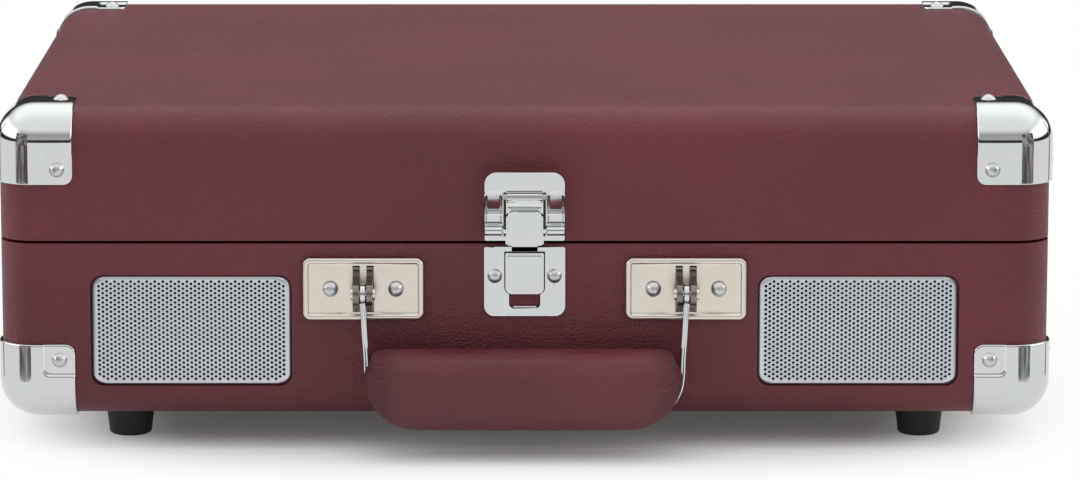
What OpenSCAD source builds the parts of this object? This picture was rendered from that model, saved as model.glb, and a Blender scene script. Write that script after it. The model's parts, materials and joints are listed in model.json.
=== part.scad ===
// Portable suitcase record player: wooden case and lid in leatherette, deck with
// belt-driven platter, pivoted arm, two small speakers, draw latch and carrying handle.
// Frame: +Z up, +X to the right seen from the front, front face towards -Y,
// origin on the floor under the middle of the whole object's outline.

/* [Case] */
// Width of the case
case_w = 356; // [340:1:380]
// Depth of the case, front face to rear face
case_d = 267; // [262:1:290]
// Height of the base box
base_h = 60.3; // [58:0.1:80]
// Height of the lid box
lid_h = 44.7; // [43:0.1:60]
// Gap between base and lid when shut
seam_gap = 1; // [0.6:0.1:1.6]
// Radius of the rounded outside edges
edge_r = 12; // [10:0.5:16]
// Thickness of the wooden walls
wall_t = 8; // [7:0.5:9]
// Thickness of the bottom board and of the lid's top board
board_t = 6; // [4:0.5:7]
// Thickness of the leatherette covering
cover_t = 1.2; // [0.8:0.1:1.6]
// Height of the feet
foot_h = 10.8; // [8:0.1:16]
// Diameter of a foot at its top
foot_d = 17; // [15:0.5:22]
// Distance from a side face to a foot's middle
foot_side = 42; // [38:1:60]
// Distance from the front or rear face to a foot's middle
foot_inset = 27; // [22:1:40]

/* [Corner guards] */
// Length of a guard along each edge
guard_l = 25.6; // [22:0.1:30]
// Height of a guard above the covering
guard_t = 1.2; // [1:0.1:1.6]
// Thickness of the flat tab round each rivet of a guard
tab_t = 0.7; // [0.5:0.1:0.9]
// Distance of a guard's rivets from the case's outside faces
guard_rivet = 20.3; // [18:0.1:21]
// Diameter of every domed rivet head
rivet_d = 5.2; // [4:0.1:5.6]

/* [Handle] */
// Distance between the two handle brackets
handle_span = 109.2; // [100:0.2:116]
// Height of the handle pivot below the seam
handle_drop = 16.4; // [15:0.1:18]
// Distance of the handle pivot in front of the case
handle_out = 7; // [6.4:0.1:8]
// Width of a handle plate
handle_plate_w = 40.9; // [38:0.1:44]
// Height of a handle plate
handle_plate_h = 21.3; // [20:0.1:24]
// Thickness of the grip, front to back
grip_t = 21; // [18:0.5:22]
// Height of the grip
grip_h = 27.5; // [25:0.5:30]
// Distance from the handle pivot down to the top of the grip
grip_below = 16.6; // [15.5:0.1:20]
// Width of the handle strap
strap_w = 8; // [6:0.5:9]
// Thickness of the handle strap
strap_t = 2; // [1.6:0.1:2.4]

/* [Latch] */
// Width of the latch plates
latch_w = 27; // [26:0.2:32]
// Width of the hasp and of the raised pocket on the catch plate
hasp_w = 12.2; // [11:0.1:13]
// Height of the catch plate
catch_h = 23.8; // [23:0.1:26]
// Height of the latch lever
lever_h = 20.5; // [20:0.1:23]

/* [Speakers] */
// Height of a speaker grille
grille_h = 37.6; // [36:0.2:39]
// Gap between a grille and the handle plate beside it
grille_gap_in = 4.15; // [3:0.05:6]
// Gap between a grille and the corner guard beside it
grille_gap_out = 5.6; // [4:0.1:8]
// Height of a grille's middle below the seam
grille_drop = 30.5; // [29:0.1:31]
// Distance between neighbouring holes in a grille
grille_pitch = 3.2; // [3:0.1:5]

/* [Deck] */
// Depth of the deck's top below the rim of the base
deck_drop = 6; // [4.5:0.1:7]
// Thickness of the deck
deck_t = 3; // [2.5:0.1:4]
// Place of the spindle, right of the case's middle
spindle_x = -40; // [-44:1:-36]
// Place of the spindle, behind the case's middle
spindle_y = -16; // [-18:1:-14]
// Diameter of the platter
platter_d = 196; // [180:1:200]
// Thickness of the platter's top
platter_t = 3; // [2.4:0.1:3.6]
// Thickness of the slipmat
mat_t = 1.5; // [1:0.1:2]
// Diameter of the spindle
spindle_d = 7.15; // [7.05:0.01:7.2]
// Diameter of the belt ring under the platter
belt_ring_d = 144; // [130:1:148]
// Diameter of the motor pulley
pulley_d = 9; // [7:0.1:10]

/* [Arm] */
// Place of the arm pivot, right of the case's middle
arm_x = 122; // [118:1:124]
// Place of the arm pivot, behind the case's middle
arm_y = 92; // [88:1:94]
// Distance from the arm pivot to the stylus
arm_l = 203; // [198:1:204]
// Diameter of the arm tube
arm_d = 6; // [5:0.1:7]
// Height of the cartridge, arm axis to stylus tip
cartridge_h = 13; // [12:0.1:14]

/* [Hinges and stay] */
// Distance from the case's middle to a hinge's middle
hinge_x = 105; // [90:1:120]
// Length of a hinge
hinge_l = 38; // [32:1:44]
// Radius of the hinge knuckles
knuckle_r = 2.6; // [2.4:0.1:3]
// Distance of the base stay pivot in front of the hinge pin
stay_base_y = 56; // [50:1:60]
// Distance of the lid stay pivot in front of the hinge pin
stay_lid_y = 44; // [40:1:48]
// Height of the lid stay pivot above the hinge pin
stay_lid_z = 26; // [22:0.5:27]

/* [Hidden] */
$fn = 64;

// Clearances
play = 0.3;          // between pieces that move past each other
slip = 0.06;         // radial, of a pivot pin in its bore
seat = 0.05;         // radial or sideways, of a fixed piece in its hole
loose = 0.5;         // radial, at the one stay pivot that stays open
eps = 0.01;          // overshoot of a cut

// Heights
base_z = foot_h;
seam_z = base_z + base_h;
lid_z = seam_z + seam_gap;
top_z = lid_z + lid_h;
pin_z = seam_z + seam_gap / 2;
board_z = base_z + cover_t + board_t;
deck_z = seam_z - deck_drop;
under_z = deck_z - deck_t;
mat_gap = 5;                                  // deck to the underside of the platter's top
platter_z = deck_z + mat_gap + platter_t;
mat_z = platter_z + mat_t;
record_t = 2.4;
arm_z = mat_z + record_t + cartridge_h;

// Rivets and screws
rivet_r = 1.2;
rivet_grip = 3;                               // shank's hold in the wood
screw_r = 1.5;
screw_head_r = 3;
screw_head_t = 1.2;
screw_dome = 0.6;
screw_slot = [3.4, 0.7, 1.6];
foot_recess = 4;                              // floor to the screw's head inside a foot

// Plan
side_x = case_w / 2;
face_y = case_d / 2;
foot_x = side_x - foot_side;
skin = wall_t + 2 * cover_t;
in_x = side_x - skin;
in_y = face_y - skin;
inner_r = 3;
turn_in = deck_drop + deck_t;                 // covering folded down inside the rims
pin_y = face_y + knuckle_r + 0.4;

// Hinge and latch
hinge_pin_r = 1.2;
leaf_t = 1.2;
leaf_h = 18;
leaf_rivets = [[-0.32, 8], [0.32, 8], [0, 13.5]];  // share of the leaf's length, height from the pin
pin_head_r = 1.9;
pin_head_t = 0.8;
latch_t = 0.8;
ear_t = 0.9;
ear_low_r = 2.2;
ear_top_r = 1.8;
ear_in = hasp_w / 2 + play;
latch_plate_h = 20.8;
lever_z = pin_z + 4.7;
lever_out = 3.6;
lever_pin_r = 0.9;
hasp_z = pin_z + 15.7;
hasp_out = 2.7;
hasp_t = 1.2;
hasp_pad = 0.8;                               // raised lower face of the hasp
barrel_r = 1.7;
lever_arm_in = ear_in + ear_t + play;
lever_half = latch_w / 2;
lever_sheet = 1.1;
lever_face = lever_out + 2.6;
lever_roll_r = 2.5;
lever_band = 5.8;
lever_r = 4;
lever_cut_r = 1.5;
lever_low = 1;                                // arms reach this far below the pin

// Handle
grip_gap = 1.6;
grip_out = grip_gap + grip_t;
handle_z = pin_z - handle_drop;
grip_z = handle_z - grip_below;
clevis_gap = strap_t + 2 * play;
clevis_t = 2;
clevis_r = 4;
handle_pin_r = 1.2;
plate_proud = 2.2;
plate_sheet = 0.8;
plate_step = 0.7;
plate_z = handle_z + 0.6;                     // middle of a handle plate
bracket_t = 1.2;
bracket_side = 3;                             // bracket's foot beside each ear
ear_tall = 16;
strap_in = 1.6;                               // each arm leans inwards by this much
strap_low = grip_z - 13;

// Front openings
grille_from = handle_span / 2 + handle_plate_w / 2 + grille_gap_in;
grille_to = side_x - guard_l - grille_gap_out;
grille_w = grille_to - grille_from;
grille_x = (grille_from + grille_to) / 2;
grille_z = pin_z - grille_drop;
grille_r = 4;
grille_sheet = 0.8;
grille_margin = 2.4;
grille_open = 0.6;                            // hole diameter as a share of the spacing
grille_depth = 0.6;                           // face below the covering
grille_deep = cover_t + 2;
speaker_d = 40;
speaker_lip = 3;
speaker_flange = 1.5;
speaker_deep = 16;
basket_t = 0.6;
magnet_r = 14;
magnet_z = 9;
coil_r = 9.4;
cone_r = speaker_d / 2 - speaker_lip - 0.4;
cone_deep = 6.4;
cone_cap_r = 6;
surround_w = 2.2;

// Turntable
spindle_r = spindle_d / 2;
spindle_rise = 9;                             // straight part above the slipmat
spindle_tip = 3;
shoulder_r = spindle_r + 0.6;                 // thicker shaft, up to the slipmat's top
bush_r = 8;
bush_deep = 6;                                // bearing below the deck
hub_t = 5;
rim_t = 2.4;
ring_t = 2;
rim_gap = 1.2;                                // deck to the platter's lower edges
belt_t = 0.8;
belt_h = 2.6;
belt_z = deck_z + 1.6;
belt_lap = 0.2;                               // straight runs reach this far into the arcs
motor_dir = 135;
motor_r = 17.5;
motor_h = 24;
motor_neck = 2;
motor_boss_r = 2.8;
motor_shaft_r = 1;
flange_w = 0.9;
flange_t = 0.5;
motor_reach = belt_ring_d / 2 + pulley_d / 2 + 6;
motor_x = spindle_x + motor_reach * cos(motor_dir);
motor_y = spindle_y + motor_reach * sin(motor_dir);

// Arm
arm_base_r = 21;
arm_base_h = 5;
pillar_r = 11;
cup_z = arm_z - 12;
gimbal_r = 9.6;
gimbal_stem_r = 4;
gimbal_stem = 7;
yoke_in = 5.2;
yoke_t = 2.4;
yoke_w = 11;
yoke_above = 5;                               // yoke's top above the arm's axis
arm_pin_r = 1;
arm_block = [9.2, 14, 10];                    // block that carries the tilt pin
tail_r = 4;
tail_l = 14;
head_l = 20;
head_w = 15;
head_h = 5;
head_wall = 1.2;
head_nose = 6;                                // headshell in front of the stylus
finger_lift = [8, 2.4, 1.2];
body = [9, 12, 9.6];                          // cartridge body
stylus_block = [3, 8, 2];
stylus_r = 1.2;
rest_y = arm_y - 118;
arm_stem_r = 5;
arm_stem = 8;
rest_stem_r = 2.5;
cue_reach = 44;
cue_x = 20;
cue_y = arm_y - 16;
cue_z = deck_z + 11;
cue_l = 27;
cue_droop = 12;
cue_rod_r = 1.2;
cue_ball_r = 2.6;
cue_hub_r = 3.4;
cue_hub_t = 2.6;
cue_pin_r = 1.2;
tower_w = 8;
bar_top = arm_z - arm_d / 2 - play;
bar_t = 2;
bar_w = 3.6;
bar_turn = 58;
bar_from = 218;
bar_stem_r = 2;
bar_boss_r = 4.5;
bar_boss_h = 10;
rest_floor = arm_z - arm_d / 2 - play;
rest_foot_r = 7;
rest_w = 8;                                   // front to back, of the cradle and its upright
clip_x = 7;
clip_z = arm_z + arm_d / 2 + 2;
clip_pin_r = 1;
clip_hub_r = 1.9;
clip_t = 2.8;
clip_l = 12;

// Controls on the deck
knob_x = in_x - 16.6;
knob_y = -100;
knob_r = 9.5;
knob_h = 11;
knob_skirt = 1.6;
knob_gap = 0.4;                               // deck to the underside of the knob
flute_r = 0.8;
pointer_w = 1.2;
pot_r = 8;
pot_h = 9;
shaft_r = 3;
shaft_deep = 5.6;
jack_x = knob_x;
jack_ys = [-72, -52];
jack_r = 1.8;
jack_body_r = 5;
jack_deep = 15;
speed_at = [86, 108];
stop_at = [48, 108];
slider_w = 6;
slider_l = 4;
slider_h = 4.4;
speed_travel = 10;
stop_travel = 5;
adapter_r = 19;
adapter_h = 4;
adapter_top = 1.5;
adapter_inset = 24;                           // from both inside walls to the adapter's middle
adapter_at = [adapter_inset - in_x, adapter_inset - in_y];
adapter_hole_r = 4;
well_z = deck_z - 1.8;                        // floor of the adapter's well

// Electronics
board_at = [60, 30];
board_size = [84, 58];
board_sheet = 1.6;
standoff = 5;
standoff_r = 2.5;
can_r = 4;                                    // largest round component
can_h = 12;
chip = [12, 7, 3];
plug = [4, 6, 5];
cooler = [16, 4, 14];
wire_r = 1.1;
clip_r = wire_r + 0.25;                       // small clip at each bend
wire_z = board_z + wire_r + 0.4;
pad_z = board_z + standoff + board_sheet + clip_r;
speaker_end_y = -face_y + skin - cover_t + speaker_deep + clip_r;

// Rear panel
panel_at = [100, base_z + 27];
panel_w = 78;
panel_h = 26;
panel_in = 6.5;
panel_t = 2;
panel_r = 2;
panel_ledge = 3;
panel_y = face_y - panel_in;
rca_r = 4.15;
rca_l = 9;
rca_hole_r = 1.6;
rca_xs = [-10, 10];
rca_tail = 10;
dc_x = 30;
dc_r = 2.8;
dc_wall = 1.2;
dc_deep = 9;
dc_pin_r = 1;

// Deck posts inside the base
post = 15;
post_at = concat(
    [for (sx = [-1, 1], sy = [-1, 1]) [sx * (in_x - post / 2 + cover_t), sy * (in_y - post / 2 + cover_t)]],
    [for (sy = [-1, 1]) [0, sy * (in_y - post / 2 + cover_t)]]);
screw_deep = 10;                              // deck screw's hold in a post

// Stay
stay_x = -in_x + 0.6;
stay_t = 1.5;
stay_w = 8;
stay_bar_w = 6.6;
stay_pin_r = 1.5;
stay_head_t = 0.9;
stay_foot = [7, 18];
stay_plate = [22, 12];
stay_base_z = 2;
stay_base = [pin_y - stay_base_y, pin_z + stay_base_z];
stay_lid = [pin_y - stay_lid_y, pin_z + stay_lid_z];
stay_knee = [stay_base[0] + stay_lid[0] - pin_y, stay_base[1] + stay_lid[1] - pin_z];
stay_bracket_t = 1.2;
lower_x = stay_x + stay_bracket_t + play;
upper_x = lower_x + stay_t + play;

flap_r = 3.4;                                 // round corners of a guard's flaps

// Offset that centres the outline, handle in front and hinges behind
case_y = (grip_out - (knuckle_r * 2 + 0.4)) / 2;

module place() translate([0, case_y, 0]) children();

// Flat rectangle with round corners
module plate_2d(w, d, r) {
    square([w - 2 * r, d], center = true);
    square([w, d - 2 * r], center = true);
    for (sx = [-1, 1], sy = [-1, 1]) translate([sx * (w / 2 - r), sy * (d / 2 - r)]) circle(r = r);
}

module quarter(r) intersection() {
    circle(r = r);
    square(r);
}

// Box with round upright and top edges and ball corners, flat underside at z = 0
module soft_block(w, d, h, r) {
    x = w / 2 - r;
    y = d / 2 - r;
    z = h - r;
    translate([-x, -d / 2, 0]) cube([2 * x, d, z]);
    for (s = [-1, 1]) translate([s * (x + r / 2), 0, z / 2]) cube([r, 2 * y, z], center = true);
    translate([-x, -y, z]) cube([2 * x, 2 * y, r]);
    for (q = [0:3]) {
        sx = (q == 0 || q == 3) ? 1 : -1;
        sy = q < 2 ? 1 : -1;
        translate([sx * x, sy * y, 0]) rotate([0, 0, 90 * q]) {
            rotate_extrude(angle = 90) square([r, z]);
            translate([0, 0, z]) rotate_extrude(angle = 90) quarter(r);
        }
    }
    for (s = [-1, 1]) {
        translate([s * x, s * y, z]) rotate([90, 0, s > 0 ? 0 : 180]) linear_extrude(2 * y) quarter(r);
        translate([-s * x, s * y, z]) rotate([90, 0, s > 0 ? 90 : -90]) linear_extrude(2 * x) quarter(r);
    }
}

// Case block grown outwards by g: the lid's, or the base's turned upside down
module lid_block(g) translate([0, 0, lid_z])
    soft_block(case_w + 2 * g, case_d + 2 * g, lid_h + g, edge_r + g);
module base_block(g) translate([0, 0, seam_z]) mirror([0, 0, 1])
    soft_block(case_w + 2 * g, case_d + 2 * g, base_h + g, edge_r + g);

module inside(z0, z1, grow = 0) translate([0, 0, z0]) linear_extrude(z1 - z0)
    plate_2d(2 * (in_x + grow), 2 * (in_y + grow), inner_r + grow);

// Bars along an axis, starting at a point
module along_y(at, r, l) translate(at) rotate([-90, 0, 0]) cylinder(r = r, h = l);
module along_x(at, r, l) translate(at) rotate([0, 90, 0]) cylinder(r = r, h = l);

// Outline drawn as (x, z) and given a depth towards the front from the plane y
module front_slab(y, t) translate([0, y, 0]) rotate([90, 0, 0]) linear_extrude(t) children();
// Outline drawn as (y, z) and given a thickness towards +X from the plane x
module side_slab(x, t) translate([x, 0, 0]) rotate([90, 0, 90]) linear_extrude(t) children();

// Domed rivet on a face at z = 0, head upwards, shank downwards
module rivet(shank) {
    head = rivet_d / 2;
    rise = head * 0.62;
    ball = (head * head + rise * rise) / (2 * rise);
    intersection() {
        translate([0, 0, rise - ball]) sphere(r = ball);
        translate([0, 0, rise]) cube([2 * head, 2 * head, 2 * rise], center = true);
    }
    translate([0, 0, -shank]) cylinder(r = rivet_r, h = shank);
}

// Rivet places of the four guards on one box, on the tabs; up is +1 for the lid, -1 for the base
module guard_rivet_places(up) {
    z = up > 0 ? top_z : base_z;
    for (sx = [-1, 1], sy = [-1, 1]) {
        gx = sx * (side_x - guard_rivet);
        gy = sy * (face_y - guard_rivet);
        gz = z - up * guard_rivet;
        translate([gx, sy * (face_y + tab_t), gz]) rotate([sy * -90, 0, 0]) children();
        translate([sx * (side_x + tab_t), gy, gz]) rotate([0, sx * 90, 0]) children();
        translate([gx, gy, z + up * tab_t]) rotate([up > 0 ? 0 : 180, 0, 0]) children();
    }
}

// Rivet places of both hinge leaves on one box
module hinge_rivet_places(up) for (s = [-1, 1], q = leaf_rivets)
    translate([s * hinge_x + q[0] * hinge_l, face_y + leaf_t, pin_z + up * q[1]])
        rotate([-90, 0, 0]) children();

guard_shank = tab_t + cover_t + rivet_grip;
hinge_shank = leaf_t + cover_t + rivet_grip;
module box_rivets(up) color("silver") place() {
    guard_rivet_places(up) rivet(guard_shank);
    hinge_rivet_places(up) rivet(hinge_shank);
}
module rivet_holes(up) {
    guard_rivet_places(up) translate([0, 0, -guard_shank]) cylinder(r = rivet_r + seat, h = guard_shank + 1);
    hinge_rivet_places(up) translate([0, 0, -hinge_shank]) cylinder(r = rivet_r + seat, h = hinge_shank + 1);
}
module lid_rivets() box_rivets(1);
module base_rivets() box_rivets(-1);

// Region of one guard: three square flaps with round inner corners
module guard_region(sx, sy, up) {
    side = 2 * (guard_l + guard_t);
    translate([sx * (side_x + guard_t), sy * (face_y + guard_t), up > 0 ? top_z + guard_t : base_z - guard_t])
        intersection() {
            linear_extrude(side, center = true) plate_2d(side, side, flap_r);
            rotate([90, 0, 0]) linear_extrude(side, center = true) plate_2d(side, side, flap_r);
            rotate([90, 0, 90]) linear_extrude(side, center = true) plate_2d(side, side, flap_r);
        }
}

// Guards pressed from sheet: proud over the edges, stepped down to a flat tab round each rivet
module corner_guards(up) color("gainsboro") place() difference() {
    for (sx = [-1, 1], sy = [-1, 1]) difference() {
        intersection() {
            if (up > 0) lid_block(guard_t); else base_block(guard_t);
            guard_region(sx, sy, up);
        }
        if (up > 0) lid_block(seat); else base_block(seat);
    }
    tab = 2 * (guard_l - guard_rivet) + 0.2;
    guard_rivet_places(up) linear_extrude(2) square(tab, center = true);
    rivet_holes(up);
}
module lid_corner_guards() corner_guards(1);
module base_corner_guards() corner_guards(-1);

// ---- Wooden base and its covering ----

module speaker_places() for (s = [-1, 1])
    translate([s * grille_x, -face_y, grille_z]) rotate([90, 0, 0]) children();

module grille_recess(grow) speaker_places() translate([0, 0, -grille_deep]) linear_extrude(grille_deep + 1)
    plate_2d(grille_w + 2 * grow, grille_h + 2 * grow, grille_r + grow);

// Pocket in the rear wall, with a ledge that the jack panel seats on
module panel_pocket() translate([panel_at[0], face_y + 1, panel_at[1]]) {
    front_slab(0, 1 + panel_in + panel_t) plate_2d(panel_w, panel_h, panel_r);
    front_slab(0, skin + 3) plate_2d(panel_w - 2 * panel_ledge, panel_h - 2 * panel_ledge, panel_r);
}

// Pairs of front rivets: catch plate and both handle plates
handle_rivet_dx = 11.1;
catch_rivet_dx = 10.1;
catch_rivet_z = pin_z - 11.4;
module front_rivet_places() {
    for (s = [-1, 1]) {
        translate([s * catch_rivet_dx, -face_y - latch_t, catch_rivet_z]) rotate([90, 0, 0]) children();
        for (h = [-1, 1])
            translate([h * handle_span / 2 + s * handle_rivet_dx, -face_y - plate_proud, plate_z])
                rotate([90, 0, 0]) children();
    }
}
front_shank = plate_proud + cover_t + rivet_grip;
module front_rivets() color("silver") place() front_rivet_places() rivet(front_shank);
module front_rivet_holes() front_rivet_places()
    translate([0, 0, -front_shank]) cylinder(r = rivet_r + seat, h = front_shank + 1);

module foot_places() for (sx = [-1, 1], sy = [-1, 1])
    translate([sx * foot_x, sy * (face_y - foot_inset), 0]) children();

// Everything wooden in the base, and in the lid, before it is split into boards
module base_wood() difference() {
    base_block(-cover_t);
    translate([-case_w, -case_d, seam_z - cover_t]) cube([2 * case_w, 2 * case_d, 10]);
    inside(board_z, seam_z + 1, cover_t);
}
module lid_wood() difference() {
    lid_block(-cover_t);
    translate([-case_w, -case_d, 0]) cube([2 * case_w, 2 * case_d, lid_z + cover_t]);
    inside(lid_z - 1, top_z - cover_t - board_t, cover_t);
}
module below_board() translate([-case_w, -case_d, 0]) cube([2 * case_w, 2 * case_d, board_z]);

module base_frame() color("burlywood") place() difference() {
    union() {
        difference() {
            base_wood();
            below_board();
        }
        for (p = post_at) translate([p[0], p[1], (board_z + under_z) / 2])
            cube([post, post, under_z - board_z], center = true);
    }
    rivet_holes(-1);
    front_rivet_holes();
    grille_recess(play);
    speaker_places() translate([0, 0, -skin - 1]) cylinder(r = speaker_d / 2 - speaker_lip, h = skin + 2);
    panel_pocket();
    for (p = post_at) translate([p[0], p[1], under_z - screw_deep - 2])
        cylinder(r = screw_r + seat, h = screw_deep + 3);
}

module bottom_board() color("tan") place() difference() {
    intersection() {
        base_wood();
        below_board();
    }
    foot_places() cylinder(r = screw_r + seat, h = board_z + 1);
    rivet_holes(-1);
}

module base_covering() color([0.37, 0.2, 0.23]) place() difference() {
    base_block(0);
    base_wood();
    inside(board_z, seam_z + 1);
    inside(board_z, seam_z - turn_in, cover_t);
    rivet_holes(-1);
    front_rivet_holes();
    grille_recess(play);
    panel_pocket();
    foot_places() cylinder(r = screw_r + seat, h = board_z);
}

module feet() color([0.1, 0.1, 0.11]) place() foot_places() difference() {
    rotate_extrude() polygon(concat(
        [[0, 0]],
        [for (a = [-90:15:0]) [foot_low_r + foot_round * (cos(a) - 1), foot_round * (1 + sin(a))]],
        [[foot_d / 2, foot_h], [0, foot_h]]));
    translate([0, 0, -1]) cylinder(r = screw_head_r + 0.6, h = foot_recess + 1);
    cylinder(r = screw_r + seat, h = foot_h + 1);
}
foot_round = 1.2;
foot_low_r = foot_d / 2 - foot_round;

module foot_screws() color("silver") place() foot_places()
    translate([0, 0, foot_recess]) pan_screw(foot_h - foot_recess + cover_t + board_t - 1, -1);

// Screw along Z with its head seat at z = 0; dir -1 puts the head below
module pan_screw(shank, dir) mirror([0, 0, dir < 0 ? 1 : 0]) difference() {
    union() {
        cylinder(r = screw_head_r, h = screw_head_t);
        translate([0, 0, screw_head_t]) cylinder(r1 = screw_head_r, r2 = screw_head_r - 1, h = screw_dome);
        translate([0, 0, -shank]) cylinder(r = screw_r, h = shank);
    }
    for (a = [0, 90]) rotate([0, 0, a]) translate([0, 0, screw_head_t + 0.4]) cube(screw_slot, center = true);
}

// ---- Speakers ----

module grille(side) color("silver") place()
translate([side * grille_x, -face_y, grille_z]) rotate([90, 0, 0]) difference() {
    row = grille_pitch * sqrt(3) / 2;
    nx = floor((grille_w / 2 - grille_margin) / row);
    ny = floor((grille_h / 2 - grille_margin - grille_pitch / 2) / grille_pitch);
    translate([0, 0, -grille_deep + eps]) linear_extrude(grille_deep - grille_depth - eps)
        plate_2d(grille_w, grille_h, grille_r);
    translate([0, 0, -grille_deep - 1]) linear_extrude(grille_deep + 1 - grille_depth - grille_sheet)
        plate_2d(grille_w - 2 * grille_sheet, grille_h - 2 * grille_sheet, grille_r - grille_sheet);
    for (i = [-nx:nx], j = [-ny:ny])
        translate([i * row, (j + (i % 2 == 0 ? 0 : 0.5)) * grille_pitch, -grille_deep])
            cylinder(r = grille_pitch * grille_open / 2, h = grille_deep + 1, $fn = 16);
}
module speaker_grille_left() grille(-1);
module speaker_grille_right() grille(1);

module speaker(side) color([0.2, 0.2, 0.22]) place()
    translate([side * grille_x, -face_y + skin - cover_t, grille_z]) rotate([-90, 0, 0]) {
        rim = speaker_d / 2;
        wall = rim - speaker_lip + basket_t;
        floor_z = magnet_z + basket_t;
        rotate_extrude() polygon([
            [rim - speaker_lip, 0], [rim, 0], [rim, speaker_flange], [wall, speaker_flange],
            [magnet_r - 3, magnet_z], [magnet_r, magnet_z], [magnet_r, speaker_deep], [0, speaker_deep],
            [0, floor_z], [coil_r, floor_z], [coil_r, magnet_z - 1], [wall - 1, speaker_flange]]);
    }
module speaker_left() speaker(-1);
module speaker_right() speaker(1);

module speaker_cones() color([0.12, 0.12, 0.13]) place()
    for (s = [-1, 1]) translate([s * grille_x, -face_y + skin - cover_t, grille_z]) rotate([-90, 0, 0])
        rotate_extrude() polygon([
            [0, cone_deep - 3], [cone_cap_r - 1.8, cone_deep - 1.2], [cone_cap_r, cone_deep],
            [cone_r - surround_w, 1.4], [cone_r - surround_w / 2, 0.4], [cone_r, 0.6], [cone_r, 1.1],
            [cone_r - surround_w / 2 + 0.1, 1], [cone_r - surround_w + 0.4, 2],
            [cone_cap_r + 0.2, cone_deep + 0.8], [cone_cap_r - 2, cone_deep - 0.4], [0, cone_deep - 2.2]]);

// ---- Catch plate, handle plates and brackets ----

catch_top = pin_z - 1.4;
pocket_top = catch_top - 2;
pocket_low = catch_top - 16;
pocket_rise = 2.6;
pocket_r = 1.2;
pocket_sheet = 0.9;
window_low = catch_top - 21;
window_r = 1.4;
lip_slot = 1.2;
lip_h = 0.6;
lip_side = 0.8;
lip_z = pocket_top + 0.35;
catch_w = latch_w + 0.4;
catch_r = 3.3;
hasp_blade = 1.1;
hasp_face = pin_z + 9.4;
hasp_low = pin_z - 1.3;
blade_w = hasp_w - 3.2;
blade_t = 0.8;

// Plate with a raised pocket, a slot for the hasp's lip above it and a window below it
module catch_plate() color("gainsboro") place() difference() {
    union() {
        translate([0, 0, catch_top - catch_h / 2]) front_slab(-face_y, latch_t) {
            plate_2d(catch_w, catch_h, catch_r);
            translate([0, catch_h / 4]) square([catch_w, catch_h / 2], center = true);
        }
        translate([0, 0, (pocket_top + pocket_low) / 2])
            front_slab(-face_y, latch_t + pocket_rise) plate_2d(hasp_w, pocket_top - pocket_low, pocket_r);
    }
    translate([0, 0, (pocket_top + pocket_low) / 2])
        front_slab(-face_y + 1, 1 + latch_t + pocket_rise - pocket_sheet)
            plate_2d(hasp_w - 2 * pocket_sheet, pocket_top - pocket_low - 2 * pocket_sheet, pocket_r / 2);
    translate([0, 0, (pocket_low + window_low) / 2]) front_slab(-face_y + 1, 3)
        plate_2d(hasp_w - 1, pocket_low - window_low, window_r);
    translate([-blade_w / 2 - lip_side, -face_y - 3, pocket_top]) cube([blade_w + 2 * lip_side, 4, lip_slot]);
    front_rivet_holes();
}

module clevis_ears(grow) for (s = [-1, 1])
    side_slab(s * (clevis_gap + clevis_t) / 2 - clevis_t / 2 - grow, clevis_t + 2 * grow) children();

// Ear seen from the side: y towards the front is negative
module ear_2d(grow) {
    translate([-face_y - handle_out, handle_z]) circle(r = clevis_r + grow);
    polygon([
        [-face_y, handle_z + ear_tall / 2 + grow], [-face_y, handle_z - ear_tall / 2 - grow],
        [-face_y - handle_out, handle_z - clevis_r - grow],
        [-face_y - handle_out, handle_z + clevis_r + grow]]);
}

module handle_plates() color([0.8, 0.78, 0.74]) place() difference() {
    for (side = [-1, 1]) translate([side * handle_span / 2, 0, plate_z]) difference() {
        inner_w = handle_plate_w - 2 * plate_sheet;
        inner_h = handle_plate_h - 2 * plate_sheet;
        union() {
            front_slab(-face_y, plate_proud - plate_step) plate_2d(handle_plate_w, handle_plate_h, 1.2);
            front_slab(-face_y, plate_proud) plate_2d(inner_w, inner_h, 1);
        }
        front_slab(-face_y + 1, 1 + plate_proud - plate_sheet)
            plate_2d(inner_w - 2 * plate_sheet, inner_h - 2 * plate_sheet, 0.6);
    }
    for (side = [-1, 1]) translate([side * handle_span / 2, 0, 0])
        clevis_ears(0.2) translate([0, handle_z]) square([3 * case_d, ear_tall + 0.8], center = true);
    front_rivet_holes();
}

module handle_brackets() color("silver") place()
    for (h = [-1, 1]) translate([h * handle_span / 2, 0, 0]) difference() {
        union() {
            translate([0, 0, handle_z]) front_slab(-face_y, bracket_t)
                plate_2d(clevis_gap + 2 * clevis_t + 2 * bracket_side, ear_tall, 1);
            clevis_ears(0) ear_2d(0);
        }
        along_x([-2 * clevis_r, -face_y - handle_out, handle_z], handle_pin_r + seat, 4 * clevis_r);
    }

module handle_pivot_pins() color("silver") place()
    for (h = [-1, 1]) translate([h * handle_span / 2, -face_y - handle_out, handle_z]) {
        half = clevis_gap / 2 + clevis_t;
        along_x([-half - pin_head_t, 0, 0], handle_pin_r, 2 * (half + pin_head_t));
        head_x = half + pin_head_t / 2 + seat;
        for (s = [-1, 1]) along_x([s * head_x - pin_head_t / 2, 0, 0], pin_head_r + 0.2, pin_head_t);
    }

// ---- Handle ----

module handle_strap() color("silver") place() difference() {
    union() {
        front_slab(-face_y - handle_out + strap_w / 2, strap_w) strap_2d(0);
        strap_ends(clevis_r - 0.2, strap_t);
    }
    strap_ends(handle_pin_r + slip, 2 * strap_t);
}
module strap_ends(r, l) for (h = [-1, 1])
    along_x([(h * handle_span - l) / 2, -face_y - handle_out, handle_z], r, l);

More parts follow.
